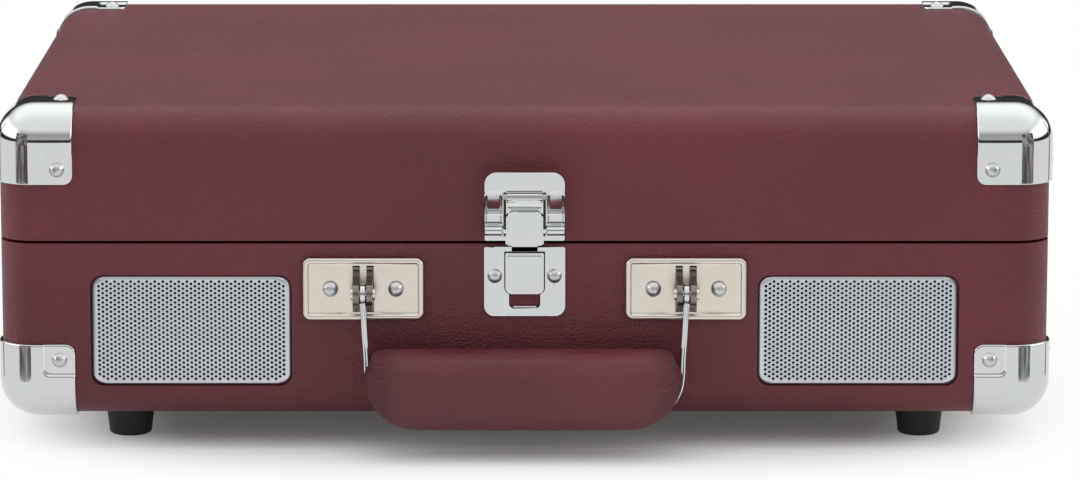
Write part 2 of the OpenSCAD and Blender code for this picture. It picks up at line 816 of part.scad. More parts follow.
// Strap from the front: arms straight between the ears, then leaning in to the bar inside the grip
module strap_2d(g) {
    low = handle_span / 2 - strap_in;
    half = strap_t / 2 + g;
    for (s = [-1, 1]) polygon([
        [s * (handle_span / 2 - half), handle_z], [s * (handle_span / 2 + half), handle_z],
        [s * (handle_span / 2 + half), handle_z - ear_tall / 2], [s * (low + half), strap_low - half],
        [s * (low - half), strap_low - half], [s * (handle_span / 2 - half), handle_z - ear_tall / 2]]);
    translate([0, strap_low]) square([2 * low, 2 * half], center = true);
}

grip_half = handle_span / 2 + 0.1;
grip_neck = handle_span / 2 - strap_in - 1.2;
grip_round = 0.42;                            // corner radius seen from the side, share of the thickness
grip_neck_h = 5;
grip_low_r = 15;
grip_up_r = 3;
module handle_grip() color([0.37, 0.2, 0.23]) place() difference() {
    intersection() {
        translate([0, 0, grip_z - grip_h]) front_slab(-face_y - grip_gap + 1, grip_t + 2) grip_front_2d();
        side_slab(-handle_span, 2 * handle_span)
            translate([-face_y - grip_gap - grip_t / 2, grip_z - grip_h / 2])
                plate_2d(grip_t, grip_h, grip_t * grip_round);
    }
    front_slab(-face_y - handle_out + strap_w / 2 + 0.1, strap_w + 0.2) strap_2d(0.1);
}

// Grip from the front: narrow neck between the strap arms, large lower corners
module grip_front_2d() {
    square_up(2 * (grip_half - grip_low_r), 0, grip_h - grip_neck_h);
    square_up(2 * grip_half, grip_low_r, grip_h - grip_neck_h);
    square_up(2 * grip_neck, grip_h - grip_neck_h, grip_h - grip_up_r);
    square_up(2 * (grip_neck - grip_up_r), grip_h - grip_up_r, grip_h);
    for (s = [-1, 1]) {
        translate([s * (grip_neck - grip_up_r), grip_h - grip_up_r]) circle(r = grip_up_r);
        translate([s * (grip_half - grip_low_r), grip_low_r]) circle(r = grip_low_r);
    }
}
module square_up(w, z0, z1) translate([-w / 2, z0]) square([w, z1 - z0]);

// ---- Deck and what stands on it ----

module deck_plate() color([0.34, 0.18, 0.21]) place() difference() {
    inside(under_z, deck_z, -play);
    deck_hole([spindle_x, spindle_y], bush_r + seat);
    deck_hole([motor_x, motor_y], motor_boss_r + 2 * play);
    for (p = post_at) deck_hole(p, screw_r + seat);
    deck_hole([arm_x, arm_y], arm_stem_r + seat);
    deck_hole([arm_x, rest_y], rest_stem_r + seat);
    deck_hole([knob_x, knob_y], shaft_r + play);
    for (y = jack_ys) deck_hole([jack_x, y], jack_body_r - 1 + seat);
    slider_slot(speed_at, speed_travel);
    slider_slot(stop_at, stop_travel);
    translate([adapter_at[0], adapter_at[1], well_z]) cylinder(r = adapter_r + play, h = deck_t);
}
module deck_hole(at, r) translate([at[0], at[1], under_z - 1]) cylinder(r = r, h = deck_t + 2);

// A slider rests at the left end of its slot and moves right
module slider_slot(at, travel) translate([at[0] + travel / 2, at[1], deck_z - deck_t / 2])
    cube([travel + slider_l + 1.2, slider_w - 2, deck_t * 2], center = true);

module slider(at) place() translate([at[0], at[1], 0]) {
    translate([0, 0, deck_z + play + slider_h / 2])
        cube([slider_l + 1, slider_w + 1, slider_h], center = true);
    translate([0, 0, deck_z - deck_t / 2 + 0.6]) cube([slider_l, slider_w - 3, deck_t + 2.4], center = true);
}
module speed_switch() color([0.9, 0.88, 0.84]) slider(speed_at);
module stop_switch() color([0.9, 0.88, 0.84]) slider(stop_at);

module deck_screws() color("silver") place()
    for (p = post_at) translate([p[0], p[1], deck_z]) pan_screw(deck_t + screw_deep, 1);

module spindle() color("silver") place() translate([spindle_x, spindle_y, 0]) {
    translate([0, 0, under_z - bush_deep]) cylinder(r = bush_r, h = deck_t + bush_deep);
    translate([0, 0, deck_z - eps]) cylinder(r = shoulder_r, h = mat_z - deck_z + eps);
    translate([0, 0, mat_z - eps]) cylinder(r = spindle_r, h = spindle_rise + eps);
    translate([0, 0, mat_z + spindle_rise]) cylinder(r1 = spindle_r, r2 = spindle_r / 2, h = spindle_tip);
}

module platter() color([0.16, 0.16, 0.17]) place() translate([spindle_x, spindle_y, 0]) rotate_extrude() {
    hole = shoulder_r + slip;
    r = platter_d / 2;
    ring = belt_ring_d / 2;
    low = deck_z + rim_gap;
    under = deck_z + mat_gap;
    polygon([
        [hole, low], [hole + hub_t, low], [hole + hub_t, under], [ring - ring_t, under], [ring - ring_t, low],
        [ring, low], [ring, under], [r - rim_t, under], [r - rim_t, low], [r - 0.6, low],
        [r, low + 0.6], [r, platter_z - 1], [r - 1, platter_z], [hole, platter_z]]);
}

module slipmat() color([0.07, 0.07, 0.08]) place() translate([spindle_x, spindle_y, platter_z]) difference() {
    cylinder(r = platter_d / 2 - 3, h = mat_t);
    translate([0, 0, -1]) cylinder(r = shoulder_r + slip, h = mat_t + 2);
}

module motor() color([0.65, 0.66, 0.68]) place() translate([motor_x, motor_y, 0]) {
    translate([0, 0, under_z - motor_h]) cylinder(r = motor_r, h = motor_h - motor_neck);
    translate([0, 0, under_z - motor_neck]) difference() {
        cylinder(r = motor_r - motor_neck, h = motor_neck);
        translate([0, 0, -1]) cylinder(r = 2 * motor_boss_r, h = motor_neck + 2);
    }
    translate([0, 0, under_z - motor_neck - 1]) cylinder(r = motor_boss_r, h = motor_neck + 1);
    translate([0, 0, under_z - 1]) cylinder(r = motor_shaft_r, h = belt_z + belt_h - under_z + 1.2);
}

module motor_pulley() color([0.85, 0.72, 0.4]) place() translate([motor_x, motor_y, belt_z - 0.6])
rotate_extrude() {
    bore = motor_shaft_r + slip;
    r = pulley_d / 2;
    top = belt_h + flange_t + 0.2;
    polygon([
        [bore, 0], [r + flange_w, 0], [r + flange_w, flange_t - 0.2], [r, flange_t],
        [r, top], [r + flange_w / 2, top + 0.2], [bore, top + 0.2]]);
}

// Flat belt: an arc round the ring, an arc round the pulley and a straight run on each side
module drive_belt() color([0.08, 0.08, 0.08]) place()
translate([spindle_x, spindle_y, belt_z]) rotate([0, 0, motor_dir]) {
    big = belt_ring_d / 2 + play;
    small = pulley_d / 2 + play;
    lean = acos((big - small) / motor_reach);
    run = motor_reach * sin(lean);
    rotate([0, 0, lean]) belt_arc(big, 360 - 2 * lean);
    translate([motor_reach, 0, 0]) rotate([0, 0, -lean]) belt_arc(small, 2 * lean);
    rotate([0, 0, lean]) translate([big - eps, -run - belt_lap, 0]) belt_run(run);
    rotate([0, 0, -lean]) translate([big - eps, -belt_lap, 0]) belt_run(run);
}
module belt_run(l) cube([belt_t + 2 * eps, l + 2 * belt_lap, belt_h]);
module belt_arc(r, a) rotate_extrude(angle = a) translate([r, 0]) square([belt_t, belt_h]);

// ---- Electronics ----

module main_board() color([0.1, 0.35, 0.2]) place() translate([board_at[0], board_at[1], board_z]) {
    translate([0, 0, standoff]) linear_extrude(board_sheet) square(board_size, center = true);
    for (sx = [-1, 1], sy = [-1, 1])
        translate([sx * (board_size[0] / 2 - 4), sy * (board_size[1] / 2 - 4), 0])
            cylinder(r = standoff_r, h = standoff + 0.5);
    translate([0, 0, standoff + board_sheet - eps]) {
        for (i = [0:2]) translate([-28 + 13 * i, 12, 0]) cylinder(r = can_r - i * 0.5, h = can_h);
        for (i = [0:1]) translate([-28 + 22 * i, -11.5, 0]) cube(chip);
        for (i = [0:3]) translate([18 + 5 * i, -23, 0]) cube(plug);
        translate([14, 2, 0]) cube(cooler);
    }
}

module volume_pot() color([0.5, 0.5, 0.52]) place() translate([knob_x, knob_y, 0]) difference() {
    translate([0, 0, under_z - pot_h]) cylinder(r = pot_r, h = pot_h);
    translate([0, 0, under_z - shaft_deep - 0.4]) cylinder(r = shaft_r + slip, h = shaft_deep + 1.4);
}

// Knob with a knurled side and a pointer groove, on its own shaft
module volume_knob() color([0.1, 0.1, 0.11]) place() translate([knob_x, knob_y, 0]) {
    translate([0, 0, under_z - shaft_deep]) cylinder(r = shaft_r, h = shaft_deep + deck_t + 1);
    skirt_top = knob_gap + knob_skirt;
    translate([0, 0, deck_z]) difference() {
        union() {
            translate([0, 0, knob_gap]) cylinder(r = knob_r, h = knob_skirt);
            translate([0, 0, skirt_top - eps]) cylinder(r = knob_r - 1, h = knob_h - 1 - skirt_top);
            translate([0, 0, knob_h - 1 - eps]) cylinder(r1 = knob_r - 1, r2 = knob_r - 2, h = 1);
        }
        translate([-pointer_w / 2, 2, knob_h - 0.8]) cube([pointer_w, knob_r, 2]);
        for (a = [0:20:340]) rotate([0, 0, a]) translate([knob_r - 0.6, 0, skirt_top + flute_r])
            cylinder(r = flute_r, h = knob_h - 1 - skirt_top - 2 * flute_r);
    }
}

// Wires: from each speaker, the motor and the rear panel to the board
wire_ends = [
    [[-grille_x, speaker_end_y, grille_z], [-grille_x, -70, wire_z],
        [0, -50, wire_z], [30, -10, pad_z + 7], [38, 8, pad_z]],
    [[grille_x, speaker_end_y, grille_z], [112, -70, wire_z],
        [108, -10, pad_z + 7], [98, 36, pad_z]],
    [[motor_x, motor_y + motor_r + clip_r, under_z - motor_h / 2], [-80, 76, wire_z],
        [0, 80, wire_z], [30, 66, pad_z + 5], [34, 54, pad_z]],
    [[panel_at[0] + rca_xs[1], panel_y - rca_tail - clip_r, panel_at[1]], [100, 90, wire_z],
        [92, 70, pad_z + 7], [88, 52, pad_z]]
];
module internal_wires() color([0.6, 0.12, 0.1]) place() for (w = wire_ends, i = [0:len(w) - 1]) {
    translate(w[i]) cube(2 * clip_r, center = true);
    if (i > 0) wire_run(w[i - 1], w[i]);
}
module wire_run(a, b) {
    d = b - a;
    flat = norm([d[0], d[1]]);
    translate(a) rotate([0, atan2(flat, d[2]), atan2(d[1], d[0])]) cylinder(r = wire_r, h = norm(d));
}

// ---- Rear panel and sockets ----

module jack_panel() color([0.12, 0.12, 0.13]) place() difference() {
    translate([panel_at[0], panel_y, panel_at[1]]) front_slab(0, panel_t)
        plate_2d(panel_w - 2 * seat, panel_h - 2 * seat, panel_r - seat);
    for (x = rca_xs) along_y([panel_at[0] + x, panel_y - panel_t - 1, panel_at[1]], rca_r - 1, 6);
    along_y([panel_at[0] + dc_x, panel_y - panel_t - 1, panel_at[1]], dc_r + dc_wall, 6);
}

module rca_jacks() color("gold") place()
    for (x = rca_xs) translate([panel_at[0] + x, panel_y, panel_at[1]]) difference() {
        union() {
            along_y([0, 0, 0], rca_r, rca_l);
            along_y([0, 0, 0], rca_r + 1, 1);
            along_y([0, -rca_tail, 0], rca_r - 1 - seat, rca_tail + eps);
        }
        along_y([0, 1, 0], rca_hole_r, rca_l);
    }

module dc_jack() color([0.15, 0.15, 0.16]) place() translate([panel_at[0] + dc_x, panel_y, panel_at[1]]) {
    difference() {
        along_y([0, -dc_deep - 3, 0], dc_r + dc_wall - seat, dc_deep + 3.6);
        along_y([0, -dc_deep, 0], dc_r, dc_deep + 3);
    }
    along_y([0, -dc_deep - 1, 0], dc_pin_r, dc_deep + 0.4);
}

module phone_jacks() color([0.15, 0.15, 0.16]) place()
    for (y = jack_ys) translate([jack_x, y, deck_z]) difference() {
        union() {
            cylinder(r = jack_body_r, h = 1);
            translate([0, 0, -jack_deep]) cylinder(r = jack_body_r - 1, h = jack_deep + eps);
        }
        translate([0, 0, 1 - jack_deep]) cylinder(r = jack_r, h = jack_deep + 2);
    }

// ---- Hinges ----

// Leaf and knuckles of one side; up is +1 for the lid leaf, -1 for the base leaf
module hinge_leaf(up) {
    n = 5;
    cell = hinge_l / n;
    own = up > 0 ? [1, 3] : [0, 2, 4];
    other = up > 0 ? [0, 2, 4] : [1, 3];
    for (s = [-1, 1]) translate([s * hinge_x, pin_y, pin_z]) difference() {
        union() {
            translate([-hinge_l / 2, -pin_y + face_y, up > 0 ? 0 : -leaf_h]) cube([hinge_l, leaf_t, leaf_h]);
            for (i = own) along_x([-hinge_l / 2 + i * cell + play / 2, 0, 0], knuckle_r, cell - play);
        }
        for (i = other) translate([-hinge_l / 2 + (i + 0.5) * cell, 0, 0])
            cube([cell + play, 3 * knuckle_r, 2 * knuckle_r + 1], center = true);
        along_x([-hinge_l, 0, 0], hinge_pin_r + slip, 2 * hinge_l);
    }
}
module hinge_lid_leaves() color("silver") place() difference() {
    hinge_leaf(1);
    rivet_holes(1);
}
module hinge_base_leaves() color("silver") place() {
    difference() {
        hinge_leaf(-1);
        rivet_holes(-1);
    }
    for (s = [-1, 1]) translate([s * hinge_x, pin_y, pin_z]) {
        along_x([-hinge_l / 2 - 0.6, 0, 0], hinge_pin_r, hinge_l + 1.2);
        for (e = [-1, 1]) along_x([e * (hinge_l / 2 + 0.5) - pin_head_t / 2, 0, 0], pin_head_r, pin_head_t);
    }
}

// ---- Lid ----

module lid_frame() color("burlywood") place() difference() {
    lid_wood();
    rivet_holes(1);
}

module lid_covering() color([0.4, 0.22, 0.25]) place() difference() {
    lid_block(0);
    lid_wood();
    inside(lid_z - 1, top_z - cover_t - board_t);
    inside(lid_z + turn_in, top_z - cover_t - board_t, cover_t);
    rivet_holes(1);
}

module lid_lining() color([0.2, 0.17, 0.17]) place() difference() {
    inside(lid_z + turn_in, top_z - cover_t - board_t, cover_t);
    inside(lid_z, top_z - 2 * cover_t - board_t);
}

// ---- Latch ----

// Ear of the latch plate, seen from the side: round over each pin
module latch_ear_2d() {
    low = lever_z - ear_low_r;
    translate([-face_y - lever_out, lever_z]) circle(r = ear_low_r);
    translate([-face_y - lever_out, lever_z]) square([ear_low_r, hasp_z - lever_z]);
    translate([-face_y - hasp_out, hasp_z]) circle(r = ear_top_r);
    polygon([
        [-face_y, low], [-face_y, hasp_z + ear_top_r], [-face_y - hasp_out, hasp_z + ear_top_r],
        [-face_y - hasp_out - ear_top_r, hasp_z], [-face_y - lever_out - ear_low_r, lever_z],
        [-face_y - lever_out, low]]);
}

module latch_plate() color("gainsboro") place() {
    difference() {
        union() {
            translate([0, 0, lid_z + 0.2 + latch_plate_h / 2])
                front_slab(-face_y, latch_t) plate_2d(latch_w - 0.4, latch_plate_h, 0.8);
            for (s = [-1, 1]) side_slab(s * (ear_in + ear_t / 2) - ear_t / 2, ear_t) latch_ear_2d();
        }
        along_x([-latch_w, -face_y - lever_out, lever_z], lever_pin_r + seat, 2 * latch_w);
        along_x([-latch_w, -face_y - hasp_out, hasp_z], lever_pin_r + seat, 2 * latch_w);
    }
    stub = lever_half - 0.4 - ear_in;
    for (s = [-1, 1])
        along_x([s * (ear_in + stub / 2) - stub / 2, -face_y - lever_out, lever_z], lever_pin_r, stub);
    along_x([-ear_in - ear_t, -face_y - hasp_out, hasp_z], lever_pin_r, 2 * (ear_in + ear_t));
}

// Lever: wide plate with a U-shaped opening, two arms that curl round the pin
module latch_lever() color("gainsboro") place() difference() {
    union() {
        front_slab(-face_y - lever_face + lever_sheet, lever_sheet) difference() {
            translate([0, lever_z - lever_low]) {
                translate([0, lever_h / 2]) plate_2d(latch_w, lever_h, lever_r);
                translate([-latch_w / 2, 0]) square([latch_w, lever_h / 2]);
            }
            cut_h = lever_h - lever_band + 2;
            translate([0, lever_z - lever_low - 2]) {
                translate([0, cut_h / 2]) plate_2d(2 * lever_arm_in, cut_h, lever_cut_r);
                translate([-lever_arm_in, -1]) square([2 * lever_arm_in, cut_h / 2]);
            }
        }
        for (s = [-1, 1]) along_x([s * (lever_arm_in + lever_half) / 2 - (lever_half - lever_arm_in) / 2,
            -face_y - lever_out, lever_z], lever_roll_r, lever_half - lever_arm_in);
    }
    along_x([-latch_w, -face_y - lever_out, lever_z], lever_pin_r + slip, 2 * latch_w);
}

// Hasp: barrel on its pin, raised face, and a blade whose lip hooks under the catch plate's top strip
module latch_hasp() color("gainsboro") place() difference() {
    union() {
        along_x([-hasp_w / 2, -face_y - hasp_out, hasp_z], barrel_r, hasp_w);
        front_slab(-face_y - hasp_out + 0.4, hasp_t) translate([0, (hasp_z + hasp_low) / 2])
            square([hasp_w, hasp_z - hasp_low], center = true);
        front_slab(-face_y - hasp_out + 0.4, hasp_t + hasp_pad) translate([0, (hasp_low + hasp_face) / 2])
            plate_2d(hasp_w, hasp_face - hasp_low, 1);
        front_slab(-face_y - hasp_blade, hasp_out - 0.4 - hasp_blade + eps) translate([0, hasp_low + 1.5])
            square([blade_w, 3], center = true);
        front_slab(-face_y - hasp_blade, blade_t) translate([0, (lip_z + hasp_low + 3) / 2])
            square([blade_w, hasp_low + 3 - lip_z], center = true);
        front_slab(-face_y - 0.1, hasp_blade) translate([0, lip_z + lip_h / 2])
            square([blade_w, lip_h], center = true);
    }
    along_x([-hasp_w, -face_y - hasp_out, hasp_z], lever_pin_r + slip, 2 * hasp_w);
}

// ---- Lid stay ----

module stay_link(x, a, b) {
    d = b - a;
    difference() {
        union() {
            for (p = [a, b]) stay_round(x, p, stay_w / 2, stay_t);
            translate([x, a[0], a[1]]) rotate([atan2(d[1], d[0]), 0, 0])
                translate([0, 0, -stay_bar_w / 2]) cube([stay_t, norm(d), stay_bar_w]);
        }
        children();
    }
}

// Round bar of the stay, across the links at a point given as (y, z)
module stay_round(x, at, r, l) along_x([x, at[0], at[1]], r, l);

module stay_lower_link() color("silver") place() {
    stay_link(lower_x, stay_base, stay_knee)
        stay_round(lower_x - 1, stay_base, stay_pin_r + slip, stay_t + 2);
    stay_round(lower_x + stay_t / 2, stay_knee, stay_pin_r, upper_x - lower_x + stay_t / 2 + 2 * play);
    stay_round(upper_x + stay_t + play, stay_knee, stay_pin_r + 1, stay_head_t);
}

module stay_upper_link() color("silver") place() difference() {
    stay_link(upper_x, stay_knee, stay_lid)
        stay_round(upper_x - 1, stay_knee, stay_pin_r + slip, stay_t + 2);
    stay_round(upper_x - 1, stay_lid, stay_pin_r + loose, stay_t + 2);
}

module stay_base_bracket() color("silver") place() {
    side_slab(stay_x, stay_bracket_t) {
        translate(stay_base) circle(r = stay_w / 2);
        translate([stay_base[0] - stay_w / 2, deck_z]) square([stay_w, stay_base[1] - deck_z]);
    }
    translate([stay_x, stay_base[0] - stay_foot[1] / 2, deck_z])
        cube([stay_foot[0], stay_foot[1], stay_bracket_t]);
    stay_round(stay_x, stay_base, stay_pin_r, lower_x - stay_x + stay_t + 0.25);
}

module stay_lid_bracket() color("silver") place() {
    side_slab(-in_x, stay_bracket_t) translate(stay_lid) plate_2d(stay_plate[0], stay_plate[1], 2);
    stay_round(-in_x, stay_lid, stay_pin_r + 1.4, upper_x + in_x - play);
    stay_round(-in_x, stay_lid, stay_pin_r, upper_x + in_x + stay_t + 0.4);
    stay_round(upper_x + stay_t + play, stay_lid, stay_pin_r + 1.2, stay_head_t);
}

// ---- Arm ----

module arm_base() color([0.13, 0.13, 0.14]) place() {
    translate([arm_x, arm_y, 0]) {
        translate([0, 0, deck_z]) cylinder(r = arm_base_r, h = arm_base_h - 1);
        translate([0, 0, deck_z + arm_base_h - 1 - eps])
            cylinder(r1 = arm_base_r, r2 = arm_base_r - 1, h = 1);
        translate([0, 0, under_z - arm_stem]) cylinder(r = arm_stem_r, h = arm_stem + deck_t + 1);
        translate([0, 0, deck_z + 1]) difference() {
            cylinder(r = pillar_r, h = cup_z - deck_z - 1 - play);
            translate([0, 0, cup_z - deck_z - gimbal_stem - 2])
                cylinder(r = gimbal_stem_r + slip, h = gimbal_stem + 5);
        }
    }
    translate([arm_x, arm_y - cue_reach, deck_z]) difference() {
        union() {
            translate([-bar_boss_r, 0, 0]) cube([2 * bar_boss_r, cue_reach - arm_base_r + 4, 2.4]);
            cylinder(r = bar_boss_r, h = bar_boss_h);
        }
        translate([0, 0, 1]) cylinder(r = bar_stem_r + slip, h = bar_boss_h + 2);
    }
    cue_tower();
}

// Tower that carries the cue lever's pin
module cue_tower() translate([arm_x + cue_x, cue_y, 0]) {
    difference() {
        translate([-tower_w / 2, -5, deck_z]) cube([tower_w, 12, cue_z + 4 - deck_z]);
        translate([-cue_hub_t / 2 - play, -6, cue_z - cue_hub_r - 1.2])
            cube([cue_hub_t + 2 * play, 14, 3.5 * cue_hub_r]);
    }
    along_x([-tower_w / 2, 0, cue_z], cue_pin_r, tower_w);
}

module cue_lever() color("silver") place() translate([arm_x + cue_x, cue_y, cue_z]) difference() {
    union() {
        along_x([-cue_hub_t / 2, 0, 0], cue_hub_r, cue_hub_t);
        rotate([-cue_droop, 0, 0]) {
            translate([0, 1 - cue_l, 0]) rotate([-90, 0, 0]) cylinder(r = cue_rod_r, h = cue_l - 3);
            translate([0, -cue_l, 0]) sphere(r = cue_ball_r);
        }
    }
    along_x([-cue_hub_t, 0, 0], cue_pin_r + slip, 2 * cue_hub_t);
}

// Lift bar: a stem in the arm base's front boss, and an arc under the tube's path
module cue_bar() color([0.2, 0.2, 0.21]) place() {
    translate([arm_x, arm_y - cue_reach, deck_z + bar_t])
        cylinder(r = bar_stem_r, h = bar_top - deck_z - 1.5 * bar_t);
    translate([arm_x, arm_y, bar_top - bar_t]) rotate([0, 0, bar_from]) rotate_extrude(angle = bar_turn)
        translate([cue_reach - bar_w / 2, 0]) square([bar_w, bar_t]);
}

module arm_gimbal() color([0.75, 0.75, 0.77]) place() translate([arm_x, arm_y, 0]) {
    translate([0, 0, cup_z - gimbal_stem]) cylinder(r = gimbal_stem_r, h = gimbal_stem + eps);
    translate([0, 0, cup_z]) cylinder(r = gimbal_r, h = 3);
    yoke_low = cup_z + 2;
    yoke_h = arm_z + yoke_above - yoke_low;
    difference() {
        for (s = [-1, 1]) translate([s * (yoke_in + yoke_t / 2), 0, yoke_low + yoke_h / 2])
            cube([yoke_t, yoke_w, yoke_h], center = true);
        along_x([-2 * yoke_in, 0, arm_z], arm_pin_r + slip, 4 * yoke_in);
    }
}

module tonearm() color([0.8, 0.8, 0.82]) place() translate([arm_x, arm_y, arm_z]) {
    pin_half = yoke_in + yoke_t - 0.2;
    cube(arm_block, center = true);
    along_x([-pin_half, 0, 0], arm_pin_r, 2 * pin_half);
    along_y([0, head_l - head_nose - arm_l - 2, 0], arm_d / 2, arm_l - head_l + head_nose);
    along_y([0, arm_block[1] / 2 - 1, 0], tail_r, tail_l);
    translate([0, -arm_l - head_nose, -arm_d / 2]) difference() {
        translate([-head_w / 2, 0, 0]) cube([head_w, head_l, head_h]);
        translate([-head_w / 2 + head_wall, 1, -1]) cube([head_w - 2 * head_wall, head_l - 5, head_h - 0.4]);
    }
    translate([head_w / 2 - 0.5, -arm_l, 0]) cube(finger_lift);
}

module cartridge() color([0.7, 0.1, 0.1]) place() translate([arm_x, arm_y - arm_l, arm_z]) {
    body_low = 0.6 - body[2];
    block_low = body_low - stylus_block[2];
    translate([-body[0] / 2, -4.6, body_low]) cube(body);
    translate([-stylus_block[0] / 2, -stylus_block[1] / 2, block_low]) cube(stylus_block + [0, 0, eps]);
    translate([0, 0, -cartridge_h])
        cylinder(r1 = 0.4, r2 = stylus_r, h = cartridge_h + block_low + 0.1, $fn = 24);
}

// Rest: post with a cradle open towards the platter, and an upright for the clip outside it
module arm_rest() color([0.13, 0.13, 0.14]) place() translate([arm_x, rest_y, 0]) {
    translate([0, 0, under_z - 6]) cylinder(r = rest_stem_r, h = rest_floor - under_z + 5);
    translate([0, 0, deck_z]) cylinder(r = rest_foot_r, h = 2);
    difference() {
        translate([-5, -rest_w / 2, rest_floor - arm_d / 2]) cube([clip_x + 6.5, rest_w, arm_d]);
        translate([-7, -rest_w, rest_floor]) cube([7 + arm_d / 2 + 0.5, 2 * rest_w, arm_d]);
    }
    difference() {
        translate([clip_x - 1.5, -rest_w / 2, rest_floor]) cube([3, rest_w, clip_z + 2 - rest_floor]);
        translate([clip_x - 3, -clip_t / 2 - play, clip_z - 3]) cube([6, clip_t + 2 * play, 8]);
    }
    along_y([clip_x, -rest_w / 2, clip_z], clip_pin_r, rest_w);
}

// Clip: stands open beside the tube and swings over it
module arm_clip() color([0.13, 0.13, 0.14]) place() translate([arm_x + clip_x, rest_y, clip_z]) difference() {
    union() {
        along_y([0, -clip_t / 2, 0], clip_hub_r, clip_t);
        translate([-1.1, -clip_t / 2, 0]) cube([2.2, clip_t, clip_l]);
        translate([-2.6, -clip_t / 2, clip_l - 1.8]) cube([2, clip_t, 1.8]);
    }
    along_y([0, -clip_t, 0], clip_pin_r + slip, 2 * clip_t);
}

module record_adapter() color([0.13, 0.13, 0.14]) place()
translate([adapter_at[0], adapter_at[1], well_z + 0.2]) difference() {
    union() {
        cylinder(r = adapter_r, h = adapter_h);
        translate([0, 0, adapter_h - eps])
            cylinder(r1 = adapter_r, r2 = adapter_r - adapter_top, h = adapter_top);
    }
    translate([0, 0, -1]) cylinder(r = spindle_r + 0.1, h = adapter_h + 4);
    for (a = [0:120:240]) rotate([0, 0, a]) translate([adapter_r * 0.6, 0, -1])
        cylinder(r = adapter_hole_r, h = adapter_h + 4);
}

base_frame();
bottom_board();
base_covering();
base_corner_guards();
base_rivets();
catch_plate();
handle_plates();
handle_brackets();
front_rivets();
handle_pivot_pins();
speaker_grille_left();
speaker_grille_right();
speaker_left();
speaker_right();
speaker_cones();
feet();
foot_screws();
deck_plate();
deck_screws();
spindle();
motor();
main_board();
internal_wires();
volume_pot();
volume_knob();
arm_base();
arm_rest();
jack_panel();
rca_jacks();
dc_jack();
phone_jacks();
hinge_base_leaves();
stay_base_bracket();
lid_frame();
lid_covering();
lid_lining();
lid_corner_guards();
lid_rivets();
latch_plate();
hinge_lid_leaves();
stay_lid_bracket();
latch_lever();
latch_hasp();
handle_strap();
handle_grip();
stay_lower_link();
stay_upper_link();
platter();
slipmat();
motor_pulley();
drive_belt();
arm_gimbal();
tonearm();
cartridge();
cue_lever();
cue_bar();
arm_clip();
speed_switch();
stop_switch();
record_adapter();
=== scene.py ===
# %% [markdown]
# # A suitcase record player, dressed for a studio
# The CAD solids already have every size and joint. This lesson gives them their finishes:
# grained leatherette, polished plating, pierced grilles, rubber feet and a padded grip.
# We load the solids first, because most later positions are read from them.

# %% Load the solids
import json
import math

import bmesh
import bpy
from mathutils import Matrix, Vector


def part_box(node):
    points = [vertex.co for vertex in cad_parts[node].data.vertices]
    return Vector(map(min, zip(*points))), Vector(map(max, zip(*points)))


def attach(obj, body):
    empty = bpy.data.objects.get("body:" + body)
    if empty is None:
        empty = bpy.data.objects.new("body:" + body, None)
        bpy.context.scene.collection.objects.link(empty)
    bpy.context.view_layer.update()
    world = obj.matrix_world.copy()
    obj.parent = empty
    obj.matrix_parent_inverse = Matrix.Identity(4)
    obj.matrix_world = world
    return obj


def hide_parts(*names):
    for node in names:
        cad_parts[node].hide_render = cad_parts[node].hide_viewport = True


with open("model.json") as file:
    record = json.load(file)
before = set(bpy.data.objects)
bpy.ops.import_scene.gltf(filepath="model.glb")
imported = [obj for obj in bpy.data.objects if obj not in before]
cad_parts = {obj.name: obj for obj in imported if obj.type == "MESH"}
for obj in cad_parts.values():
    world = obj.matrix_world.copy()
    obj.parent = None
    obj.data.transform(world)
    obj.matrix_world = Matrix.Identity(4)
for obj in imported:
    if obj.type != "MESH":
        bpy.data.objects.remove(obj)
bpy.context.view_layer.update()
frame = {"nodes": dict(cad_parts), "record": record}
scene = bpy.context.scene
nodes = frame["nodes"]
MM = 0.001
BASE_BOX, LID_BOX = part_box("base_covering"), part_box("lid_covering")
FACE_Y = BASE_BOX[0].y

# %% [markdown]
# The camera stands straight in front, a little above the case, with a long lens, so the
# front shows nearly flat and the lid's top is a thin band. It aims at the seam between the
# base and the lid. A small shift leaves the same margins on both sides.

# %% Camera
SEAM_Z = (BASE_BOX[1].z + LID_BOX[0].z) / 2
LOOK_DOWN = math.radians(10.61)
DISTANCE = 1.768

camera = bpy.data.objects.new("studio_camera", bpy.data.cameras.new("studio_camera"))
scene.collection.objects.link(camera)
camera.data.lens = 174.4
camera.data.sensor_width = 36
camera.data.shift_x = 0.0142
camera.data.shift_y = 0.0021
camera.data.clip_end = 50
camera.location = (0, FACE_Y - DISTANCE * math.cos(LOOK_DOWN), SEAM_Z + DISTANCE * math.sin(LOOK_DOWN))
camera.rotation_euler = (math.pi / 2 - LOOK_DOWN, 0, 0)
scene.camera = camera
scene.view_settings.view_transform = "Standard"
print("camera at", [round(v, 3) for v in camera.location])

# %% [markdown]
# A finish is a small network of shader nodes. Wiring them by hand is slow to read, so a
# socket gets a wrapper that understands sums: `1 - mask` or `grain * 0.3 + base` adds the
# Math nodes by itself. Colours and vectors must not pass through a Math node, which would
# keep only their brightness, so they get Vector Math and Mix nodes instead.

